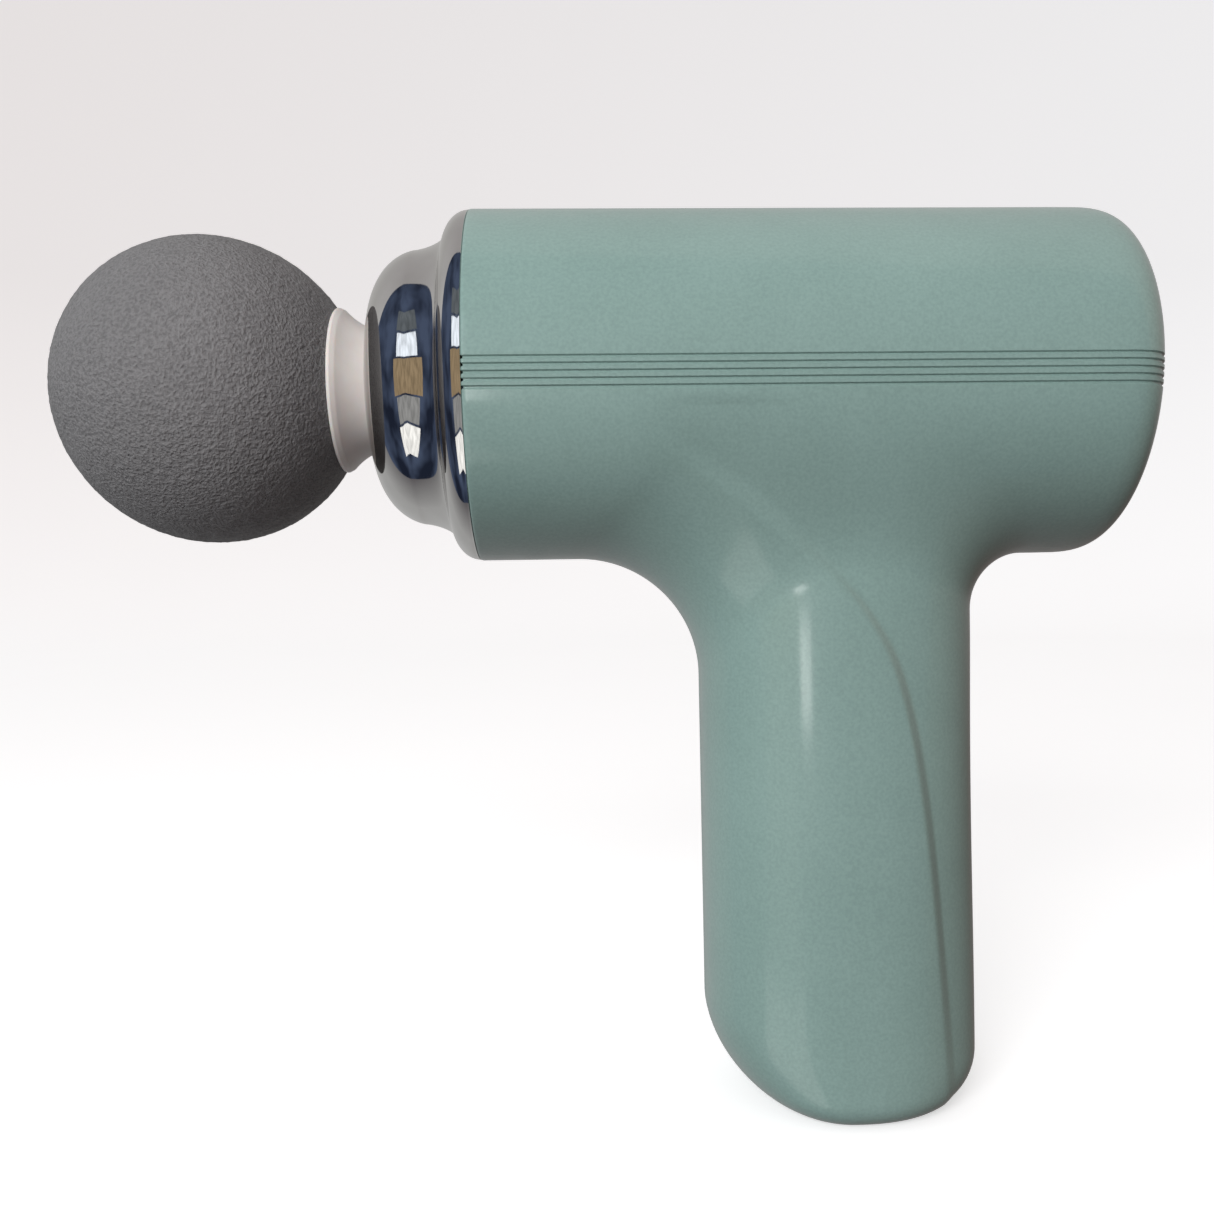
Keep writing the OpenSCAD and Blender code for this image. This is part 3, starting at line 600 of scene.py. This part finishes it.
half = GROOVE_W / 2
groove_rows = sorted([PITCH * (g - GROOVES // 2) + half * o - GROOVE_DROP for g in range(GROOVES)
                      for o in OVER_GROOVE]
                     + [PITCH * (g - GROOVES // 2 + 0.5) - GROOVE_DROP for g in range(GROOVES - 1)]
                     + [-BAND_EDGE - GROOVE_DROP, BAND_EDGE - GROOVE_DROP])
above = [0.0, 0.38] + list(np.linspace(1.8, 86.0, 42))
below = (list(np.linspace(102.0, HOLE_TOP, ROWS_TO_HOLE + 1)) + list(np.linspace(HOLE_TOP, 178.2, 36))[1:]
         + [179.62, 180.0])
hole_row = len(above) + len(groove_rows) + ROWS_TO_HOLE
rows = len(above) + len(groove_rows) + len(below)


def row_angles(r):
    """Angles from the top of the barrel: even ones above and below, and fixed heights across the grooves."""
    across = [90 - math.degrees(math.asin(h / r)) for h in groove_rows[::-1]]
    upper = min((across[0] - ROW_GAP) / above[-1], 1.0)
    lower = min((180 - across[-1] - ROW_GAP) / (180 - below[0]), 1.0)
    angles = [a * upper for a in above] + across + [180 - (180 - a) * lower for a in below]
    return np.radians(angles)


grid = np.array([[(x, -r * math.sin(a), AXIS_Z + r * math.cos(a)) for a in row_angles(r)] for x, r in stations])
on_fillet = np.zeros(grid.shape[:2], bool)
on_fillet[EDGE_STATIONS:hole_b + 1, len(above):] = True
flat_row = np.zeros_like(on_fillet)
flat_row[:, -1] = True
grid[on_fillet] = settle(grid[on_fillet], in_plane=flat_row[on_fillet])

# ---------- handle: one column for each grid point on the edge of the hole ----------

edge_ids = ([(hole_a, j) for j in range(rows - 1, hole_row, -1)]
            + [(i, hole_row) for i in range(hole_a, hole_b + 1)]
            + [(hole_b, j) for j in range(hole_row + 1, rows)])
edge = np.array([grid[i, j] for i, j in edge_ids])
columns = len(edge)
side_rows, long_rows = rows - 1 - hole_row, hole_b - hole_a

fine = np.linspace(math.pi, 0, 4001)
walk = np.cumsum(np.r_[0, np.linalg.norm(np.diff(section(fine, np.full_like(fine, 40.0)), axis=0), axis=1)])
stops = np.linspace(0, walk[-1], columns)
stops[1], stops[-2] = 0.15, walk[-1] - 0.15
angles = np.interp(stops, walk, fine)

foot = section(angles, np.full(columns, LOW_Z))
corner = foot.copy()
corner[:, 2] = AXIS_Z - np.sqrt(BARREL_R ** 2 - np.minimum(foot[:, 1] ** 2, BARREL_R ** 2))
BLEND_ROWS, PULL = 62, 0.62
s = np.linspace(0, 1, BLEND_ROWS + 1)[:, None, None]
path = ((1 - s) ** 3 * edge + 3 * s * (1 - s) ** 2 * (edge + (corner - edge) * PULL)
        + 3 * s * s * (1 - s) * (foot + (corner - foot) * PULL) + s ** 3 * foot)
middle = np.zeros((BLEND_ROWS - 1, columns), bool)
middle[:, [0, -1]] = True


def settle_path(path, rounds):
    """Settles every row of the path but its ends."""
    inner = settle(path[1:-1].reshape(-1, 3), rounds, middle.ravel())
    return np.concatenate([path[:1], inner.reshape(BLEND_ROWS - 1, columns, 3), path[-1:]])


def even_path(path):
    """The path with its rows evenly spaced along each column."""
    steps = np.linalg.norm(np.diff(path, axis=0), axis=2)
    length = np.concatenate([np.zeros((1, columns)), np.cumsum(steps, axis=0)])
    out = path.copy()
    for c in range(columns):
        for k in range(3):
            out[:, c, k] = np.interp(np.linspace(0, length[-1, c], len(path)), length[:, c], path[:, c, k])
    return out


path = settle_path(path, 8)
for _ in range(3):
    path = settle_path(even_path(path), 4)
    path[1:-1, 1:-1] = (path[1:-1, :-2] + path[1:-1, 2:] + 2 * path[1:-1, 1:-1]) / 4
    path = settle_path(path, 4)

heights = list(spaced(LOW_Z, BASE_RISE, STEP))[1:]
heights += [BASE_RISE * (1 - math.sin(math.radians(a))) for a in np.linspace(0, 60, 15)]
toe = heights[-1]
heights += [toe * math.cos(math.radians(a)) for a in np.linspace(0, 90, 15)[1:]]
straight = np.array([section(angles, np.full(columns, z)) for z in heights])
straight[:, [0, -1], 1] = 0

# ---------- base: a patch inside the last ring ----------

last = straight[-1]
sides = (last[:side_rows + 1], last[side_rows:side_rows + long_rows + 1], last[side_rows + long_rows:][::-1])
u = np.linspace(0, 1, long_rows + 1)[:, None, None]
v = np.linspace(0, 1, side_rows + 1)[None, :, None]
ground = (sides[0][0] + np.linspace(0, 1, long_rows + 1)[:, None] * (sides[2][0] - sides[0][0]))[:, None]
base = ((1 - v) * ground + v * sides[1][:, None] + (1 - u) * sides[0][None] + u * sides[2][None]
        - (1 - u) * (1 - v) * sides[0][0] - u * (1 - v) * sides[2][0]
        - (1 - u) * v * sides[0][-1] - u * v * sides[2][-1])


def half_surface():
    """Points and faces of the left half, the faces running the same way round."""
    points, faces, ids = [], [], {}

    def add(key, place):
        ids[key] = len(points)
        points.append(place)
        return ids[key]

    for i in range(len(stations)):
        for j in range(rows):
            if not (hole_a < i < hole_b and j > hole_row):
                add((i, j), grid[i, j])
    for i in range(len(stations) - 1):
        for j in range(rows - 1):
            if not (hole_a <= i < hole_b and j >= hole_row):
                faces.append((ids[i, j], ids[i, j + 1], ids[i + 1, j + 1], ids[i + 1, j]))
    ring = [ids[key] for key in edge_ids]
    for row in np.concatenate([path[1:], straight]):
        below_ring = [add(("ring", len(points)), p) for p in row]
        faces += [(ring[c], below_ring[c], below_ring[c + 1], ring[c + 1]) for c in range(columns - 1)]
        ring = below_ring
    patch = {(0, c): ring[c] for c in range(side_rows + 1)}
    patch |= {(c, side_rows): ring[side_rows + c] for c in range(long_rows + 1)}
    patch |= {(long_rows, c): ring[columns - 1 - c] for c in range(side_rows + 1)}
    for a in range(long_rows + 1):
        for b in range(side_rows + 1):
            if (a, b) not in patch:
                patch[a, b] = add(("base", a, b), base[a, b])
    faces += [(patch[a, b], patch[a + 1, b], patch[a + 1, b + 1], patch[a, b + 1])
              for a in range(long_rows) for b in range(side_rows)]
    return np.array(points), np.array(faces)


def point_normals(points, faces):
    """Mean normal of the faces round each point, level across the middle plane."""
    quad = points[faces]
    normal = np.cross(quad[:, 2] - quad[:, 0], quad[:, 3] - quad[:, 1])
    out = np.zeros_like(points)
    for c in range(4):
        np.add.at(out, faces[:, c], normal)
    out[np.abs(points[:, 1]) < 1e-6, 1] = 0
    return out / np.linalg.norm(out, axis=1)[:, None]


def half_solid():
    """The left half as a closed wall, its outside carrying the grooves, the crease and the parting line."""
    seam_depth, half_gap = 0.07, 0.01
    points, faces = half_surface()
    lower = points[:, 2] < AXIS_Z - 5
    handle = lower & (points[:, 1] < -1) & (points[:, 2] > 0.5)
    handle &= (points[:, 0] > HOLE_FRONT + 3) & (points[:, 0] < HOLE_REAR - 1)
    points[handle] = settle(gather_at_crease(points[handle]), 4)
    normals = point_normals(points, faces)
    if normals[0, 2] < 0:
        faces, normals = faces[:, ::-1], -normals
    height = points[:, 2] - AXIS_Z + GROOVE_DROP
    depth = np.where(np.abs(height) < 3, groove_depth(height), 0.0)
    depth[lower] = crease_depth(points[lower])
    seam = np.abs(points[:, 1]) < 1e-6
    depth[seam] += seam_depth
    outer = points - normals * depth[:, None]
    inner = points - normals * WALL
    outer[seam, 1] = inner[seam, 1] = -half_gap
    count = len(points)
    sides = {(a, b) for face in faces for a, b in zip(face, np.roll(face, -1))}
    rim = [(b, a, a + count, b + count) for a, b in sides if (b, a) not in sides]
    closed = [tuple(f) for f in faces] + [tuple(f[::-1] + count) for f in faces] + rim
    return np.concatenate([outer, inner]), closed


def rounded_bar(cx, half_w, half_t, z0, z1, r, steps=8):
    """A closed bar with a rounded section, standing between two heights."""
    ring = []
    for qx, qy, start in ((1, 1, 0), (-1, 1, 90), (-1, -1, 180), (1, -1, 270)):
        ring += arc(cx + qx * (half_w - r), qy * (half_t - r), r, start, start + 90, steps)
    n = len(ring)
    return [(x, y, z) for z in (z0, z1) for x, y in ring], band(0, n, n) + lids(0, n, n)


def side_of_shell(x, z):
    """How far out the body's surface lies at x and z."""
    low, high = 5.0, 30.0
    for _ in range(40):
        mid = (low + high) / 2
        low, high = (mid, high) if field(np.array([[x, -mid, z]]))[0] < 0 else (low, mid)
    return low


def make_shells():
    """The left half and its mirror image, with the socket's slot, light holes and screw wells cut in."""
    points, faces = half_solid()
    screws = [(x, AXIS_Z + dz) for x, dz in BARREL_SCREWS] + [HANDLE_SCREW]
    for side, name in ((1, "left"), (-1, "right")):
        flip = np.array([1, side, 1])
        shell = closed_piece(f"{name}_shell_skin", (points * flip, [f[::side] for f in faces]))
        cut(shell, "slot", rounded_bar(USB_X, USB_HALF_W, USB_HALF_T, -1, 4, 1.9))
        for a in np.radians(LED_ANGLES):
            y, z = LED_R * math.sin(a), AXIS_Z - LED_R * math.cos(a)
            cut(shell, "hole", rod((25, y, z), (45, y, z), LED_HOLE_R))
        if name == "right":
            for x, z in screws:
                cut(shell, "well", rod((x, 5, z), (x, 30, z), WELL_R))
        shade(shell, 35)
        declare(shell, "housing", "shell_green", [f"{name}_shell"])


def make_plugs():
    """Plugs over the screws on the right side, each following the body's surface."""
    points, faces = [], []
    radius, deep, rings, spokes = WELL_R - 0.06, 2.4, 7, 40
    for x0, z0 in [(x, AXIS_Z + dz) for x, dz in BARREL_SCREWS] + [HANDLE_SCREW]:
        start = len(points)
        steps = list(np.linspace(0, radius - 0.12, rings))[1:] + [radius - 0.03, radius]
        drop = [0.05] * (rings - 1) + [0.09, 0.17]
        points.append((x0, side_of_shell(x0, z0) - 0.05, z0))
        for r, d in zip(steps, drop):
            for a in around(spokes):
                x, z = x0 + r * math.cos(a), z0 + r * math.sin(a)
                points.append((x, side_of_shell(x, z) - d, z))
        floor = side_of_shell(x0, z0) - deep
        bottom = len(points)
        points += [(x0 + radius * math.cos(a), floor, z0 + radius * math.sin(a)) for a in around(spokes)]
        faces += [(start, start + 1 + k, start + 1 + (k + 1) % spokes) for k in range(spokes)]
        for r in range(len(steps)):
            a = start + 1 + r * spokes
            b = a + spokes
            faces += [(a + k, b + k, b + (k + 1) % spokes, a + (k + 1) % spokes) for k in range(spokes)]
        faces.append(tuple(range(bottom, bottom + spokes)))
    plugs = closed_piece("screw_plug_caps", (points, faces))
    shade(plugs)
    declare(plugs, "housing", "shell_green", ["screw_plugs"])


def ring_arc(cx, cr, reach, height, start, stop, steps, power):
    """Part of a superellipse in (x, r), from its front towards its top."""
    return [(cx - reach * math.cos(a) ** (2 / power), cr + height * math.sin(a) ** (2 / power))
            for a in np.radians(np.linspace(start, stop, steps))]


def bezier(a, b, c, d, steps):
    """Points inside a Bezier curve, its ends left out."""
    a, b, c, d = map(np.array, (a, b, c, d))
    return [tuple((1 - t) ** 3 * a + 3 * t * (1 - t) ** 2 * b + 3 * t * t * (1 - t) * c + t ** 3 * d)
            for t in np.linspace(0, 1, steps + 2)[1:-1]]


def make_collar():
    """Mirror collar: a rounded nose ring, a waist and a flare that meets the barrel."""
    nose = ring_arc(COLLAR_X + 7.0, 9.6, 7.0, 8.1, 0.5, 80, 44, 2)
    flare = ring_arc(FRONT_X, 18.5, 3.3, 3.9, 12, 87, 30, 2)
    (nx, nr), (fx, fr) = nose[-1], flare[0]
    waist = bezier((nx, nr), (nx + 1.5, nr + 0.1), (fx - 0.3, fr - 0.75), (fx, fr), 14)
    lip = [(COLLAR_X + 0.35, COLLAR_HOLE_R), (COLLAR_X + 0.1, COLLAR_HOLE_R + 0.08),
           (COLLAR_X, COLLAR_HOLE_R + 0.35)]
    rim = [(FRONT_X - 0.04, 22.43), (FRONT_X, 22.36), (FRONT_X, 20.6)]
    inside = [(-43.5, 20.6), (-43.5, 19.2), (-46.6, 19.2), (-47.0, 16.4), (-55.6, 15.3), (-58.4, 12.6),
              (-58.4, COLLAR_HOLE_R)]
    collar = closed_piece("mirror_collar", turned(lip + nose + waist + flare + rim + inside, 192, closed=True))
    shade(collar)
    declare(collar, "housing", "collar_chrome", ["front_collar"])


def make_head():
    """Neck of the massage head, flared to a dish that holds the ball."""
    seat = BALL_R + 0.03
    rim_x = BALL_X + math.sqrt(seat ** 2 - FLANGE_R ** 2)
    dish = [(BALL_X + math.sqrt(seat ** 2 - r ** 2), r) for r in np.linspace(SPIGOT_R, FLANGE_R - 0.3, 14)]
    start, end, waist_r = rim_x + 1.0, NECK_X - 2.0, 7.8
    flare = [(start + (end - start) * t, waist_r + (FLANGE_R - 0.25 - waist_r) * (1 - t) ** 2.3)
             for t in np.linspace(0, 1, 26)]
    lip = arc(rim_x + 0.42, FLANGE_R - 0.35, 0.35, 150, 40, 8)
    groove, groove_end, groove_r = NECK_X + 9.0, NECK_X + 10.3, STEM_R - 1.1
    stem_end, bevel = NECK_X + STEM_LEN, 0.8
    stem = [(NECK_X - 0.3, waist_r), (NECK_X, waist_r - 0.3), (NECK_X, STEM_R), (groove, STEM_R),
            (groove, groove_r), (groove_end, groove_r), (groove_end, STEM_R), (stem_end - bevel, STEM_R),
            (stem_end, STEM_R - bevel), (stem_end, 0)]
    profile = [(SPIGOT_X, 0), (SPIGOT_X, SPIGOT_R)] + dish + lip + flare + stem
    neck = closed_piece("head_neck", turned(profile, 144))
    shade(neck, 42)
    declare(neck, "massage_head", "head_white", ["head_base"])


def make_ball():
    """Foam ball with a pebbled skin, smooth where it sits in the dish and bored for the neck's spigot."""
    pebble_height, sink = 0.11, 0.07
    bm = bmesh.new()
    bmesh.ops.create_cube(bm, size=2)
    bmesh.ops.subdivide_edges(bm, edges=bm.edges[:], cuts=121, use_grid_fill=True)
    centre = Vector((BALL_X, 0, AXIS_Z))
    for vert in bm.verts:
        out = Vector([math.tan(c * math.pi / 4) for c in vert.co]).normalized()
        place = out * BALL_R
        pebble = noise.noise(place * 1.05) * 0.6 + noise.noise(place * 2.1 + Vector((9, 3, 5))) * 0.4
        seated = min(1.0, max(0.0, (0.86 - out.x) / 0.03))
        skin = (pebble_height * pebble - sink) * seated - 0.02
        vert.co = (centre + out * (BALL_R + skin)) * MM
    ball = bpy.data.objects.new("foam_ball", bpy.data.meshes.new("foam_ball"))
    bpy.context.scene.collection.objects.link(ball)
    bm.to_mesh(ball.data)
    bm.free()
    cut(ball, "bore", rod((SPIGOT_X, 0, AXIS_Z), (-50, 0, AXIS_Z), SPIGOT_R, 64))
    shade(ball, 50)
    declare(ball, "massage_head", "ball_foam", ["ball_head"])


def make_button():
    """Power button, slightly dished, with a rounded edge and a short stem."""
    edge_r, dish, stem_r = 0.6, 0.28, 1.5
    flat_r = BUTTON_R - 0.7
    under, stem_end = REAR_X - 1.8, REAR_X - 2.4
    crown = [(REAR_X - 0.3 + dish * (r / flat_r) ** 2, r) for r in np.linspace(0, flat_r, 14)]
    edge = arc(REAR_X - 0.62, BUTTON_R - edge_r, edge_r, 20, 90, 7)
    stem = [(under, BUTTON_R), (under, stem_r), (stem_end, stem_r), (stem_end, 0)]
    button = closed_piece("push_button", turned(crown + edge + stem, 128))
    shade(button)
    declare(button, "button_unit", "button_grey", ["power_button"])


def make_bezel():
    """Chrome ring round the button, with a rounded lip."""
    inner, outer, back = BUTTON_R + 0.35, BEZEL_R, REAR_X - 2.6
    mid, half_w = (inner + outer) / 2, (outer - inner) / 2
    lip = [(REAR_X - 0.55 + 0.65 * math.sin(a), mid - half_w * math.cos(a))
           for a in np.linspace(0, math.pi, 24)]
    bezel = closed_piece("button_ring", turned(lip + [(back, outer), (back, inner)], 160, closed=True))
    shade(bezel)
    declare(bezel, "housing", "collar_chrome", ["button_bezel"])


def make_lights():
    """Four light pipes with domed ends under the button, on the bar that joins them."""
    points, faces = [], []
    spokes = 32
    tip = CAP_X + CAP_LENGTH * (1 - (LED_R / BARREL_R) ** CAP_POWER) ** (1 / CAP_POWER) - 0.12
    dome = [(tip - 0.25 + 0.3 * math.sin(b), LIGHT_PIN_R * math.cos(b)) for b in np.radians((20, 40, 60, 75))]
    profile = [(LIGHT_BAR_FRONT, LIGHT_PIN_R), (tip - 0.25, LIGHT_PIN_R)] + dome
    for a in np.radians(LED_ANGLES):
        y0, z0 = LED_R * math.sin(a), AXIS_Z - LED_R * math.cos(a)
        start = len(points)
        for x, r in profile:
            points += [(x, y0 + r * math.cos(b), z0 + r * math.sin(b)) for b in around(spokes)]
        rings = range(start, len(points), spokes)
        for p, q in zip(rings, rings[1:]):
            faces += band(p, q, spokes)
        faces += lids(rings[0], rings[-1], spokes)
    low, high = (LIGHT_BAR_BACK, -8, AXIS_Z - 11), (LIGHT_BAR_FRONT, 8, AXIS_Z - 6.4)
    bar_points, bar_faces = box(low, high, len(points))
    lights = closed_piece("light_lenses", (points + bar_points, faces + bar_faces))
    shade(lights)
    declare(lights, "housing", "clear_plastic", ["light_guide"])


make_shells()
make_plugs()
make_collar()
make_head()
make_ball()
make_button()
make_bezel()
make_lights()


# ---------- studio ----------

# Lit patches of the dark side, mirrored by the collar: name, azimuth and elevation, width and height, all in
# degrees, then colour and strength
CARDS = (("wood", 32, 3, (40, 27), (0.42, 0.31, 0.19), 1.0),
         ("window", 32, -46, (34, 24), (0.95, 0.94, 0.92), 1.5),
         ("grey_wall", 32, -22, (30, 20), (0.40, 0.40, 0.40), 1.0),
         ("lamp", 30, 27, (30, 18), (0.8, 0.86, 0.95), 1.6),
         ("ceiling", 30, 46, (34, 16), (0.16, 0.18, 0.2), 1.0))
CARD_DISTANCE, COLLAR_EYE, HANDLE_EYE = 330.0, (-52, -18, 96), (-7, -15, 58)
FLOOR_R, WALL_R = 1200, 1700


def paper():
    """Plain pale floor and wall, lifted a little by their own glow."""
    pale = (0.835, 0.86, 0.868)
    n = Nodes("paper")
    n.colour(n.mix(n.spread(n.noise(8, 2), 0.3, 0.7), pale, tuple(c * 1.01 for c in pale)))
    return n.set(Roughness=0.7, Emission_Strength=0.5).material


def lit_card(name, colour, strength):
    """A streaky light source."""
    n = Nodes(name)
    streaks = n.spread(n.noise(14, 3, 0.5, (3, 1, 1)), 0.35, 0.65)
    tone = n.mix(streaks, tuple(c * 0.72 for c in colour), tuple(c * 1.2 for c in colour))
    return n.glow(tone, strength).material


def backdrop():
    """Round floor that curves up into a wall far from the object. The wall casts no shadow."""
    bend = WALL_R - FLOOR_R
    curve = [(FLOOR_R + bend * math.sin(a), bend - bend * math.cos(a)) for a in np.linspace(0, math.pi / 2, 24)]
    profiles = {"floor": [(0.001, 0), (600, 0), (FLOOR_R, 0)],
                "wall": curve + [(WALL_R, 2600), (900, 3100), (0.001, 3150)]}
    spokes, material = 96, paper()
    for name, profile in profiles.items():
        points = [(r * math.cos(a), r * math.sin(a), z) for r, z in profile for a in around(spokes)]
        faces = [face for i in range(len(profile) - 1) for face in band(i * spokes, (i + 1) * spokes, spokes)]
        piece = new_object(name, points, faces)
        shade(piece, 80)
        piece.data.materials.append(material)
        piece.visible_glossy = piece.visible_diffuse = False
        piece.visible_shadow = name == "floor"


def mirror_only(obj):
    """Seen only in reflections, as a studio's dark side is."""
    for ray in ("camera", "diffuse", "shadow", "transmission", "volume_scatter"):
        setattr(obj, f"visible_{ray}", False)


def dark_room():
    """Dark dome on the camera's side, mirrored by the collar."""
    centre, radius, turn, reach = (-52, 10, 96), 420.0, 20, 80.0
    rings, spokes = 24, 48
    points = [(0, -radius, 0)]
    for i in range(1, rings + 1):
        a = math.radians(reach * i / rings)
        r = radius * math.sin(a)
        points += [(r * math.cos(b), -radius * math.cos(a), r * math.sin(b)) for b in around(spokes)]
    faces = [(0, 1 + k, 1 + (k + 1) % spokes) for k in range(spokes)]
    for i in range(rings - 1):
        p, q = 1 + i * spokes, 1 + (i + 1) * spokes
        faces += [(p + k, q + k, q + (k + 1) % spokes, p + (k + 1) % spokes) for k in range(spokes)]
    dome = new_object("dark_room", points, faces)
    place = Matrix.Translation(Vector(centre) * MM)
    dome.matrix_world = place @ Matrix.Rotation(math.radians(-turn), 4, "Z")
    n = Nodes("dark_room")
    shade_of_blue = n.mix(n.spread(n.noise(6, 2), 0.35, 0.65), (0.018, 0.024, 0.045), (0.09, 0.12, 0.20))
    dome.data.materials.append(n.glow(shade_of_blue).material)
    mirror_only(dome)


def card(name, azimuth, elevation, size, colour, strength, eye=COLLAR_EYE):
    """A lit patch of the dark side. Azimuth is from -Y towards -X, as seen from the eye."""
    a, e = math.radians(azimuth), math.radians(elevation)
    out = Vector((-math.sin(a) * math.cos(e), -math.cos(a) * math.cos(e), math.sin(e)))
    w, h = (CARD_DISTANCE * math.tan(math.radians(angle / 2)) for angle in size)
    obj = new_object(name, [(-w, -h, 0), (w, -h, 0), (w, h, 0), (-w, h, 0)], [(0, 1, 2, 3)])
    place = Matrix.Translation((Vector(eye) + out * CARD_DISTANCE) * MM)
    obj.matrix_world = place @ out.to_track_quat("Z", "Y").to_matrix().to_4x4()
    obj.data.materials.append(lit_card(name, colour, strength))
    mirror_only(obj)


def key_light():
    """Large soft light high to the front left, not mirrored."""
    place, target, size = Vector((-225, -450, 255)), Vector((0, 0, 70)), 240
    data = bpy.data.lights.new("key", "AREA")
    data.shape, data.size, data.size_y = "RECTANGLE", size * MM, size * MM
    data.energy, data.color = 2.1, (1.0, 0.975, 0.97)
    light = bpy.data.objects.new("key", data)
    light.location = place * MM
    light.rotation_euler = (target - place).to_track_quat("-Z", "Y").to_euler()
    light.visible_glossy = False
    bpy.context.scene.collection.objects.link(light)


def sky():
    """Soft daylight from above and the left, a warm dim room to the right and below."""
    world = bpy.data.worlds.new("studio")
    bpy.context.scene.world = world
    n = Sky(world)
    split = n.add("ShaderNodeSeparateXYZ")
    n.link(n.place, split.inputs["Vector"])
    up, right, back, zenith = (n.spread(split.outputs[axis], low, high) for axis, low, high in
                               (("Z", -0.15, 0.15), ("X", -0.3, 0.8), ("Y", 0.0, 0.6), ("Z", 0.5, 0.95)))
    high = n.mix(back, n.mix(right, (0.68, 0.67, 0.68), (0.45, 0.32, 0.29)), (0.50, 0.49, 0.48))
    high = n.mix(zenith, high, (0.46, 0.44, 0.44))
    low = n.mix(back, n.mix(right, (0.17, 0.16, 0.17), (0.08, 0.035, 0.025)),
                n.mix(right, (0.5, 0.5, 0.5), (0.12, 0.08, 0.07)))
    n.link(n.mix(up, low, high), n.tree.nodes["Background"].inputs["Color"])


sky()
backdrop()
key_light()
dark_room()
for settings in CARDS:
    card(*settings)
# the lamp whose streak runs down the handle
card("desk_lamp", 15.5, -4.5, (8, 7), (1.0, 1.0, 0.98), 9.5, HANDLE_EYE)
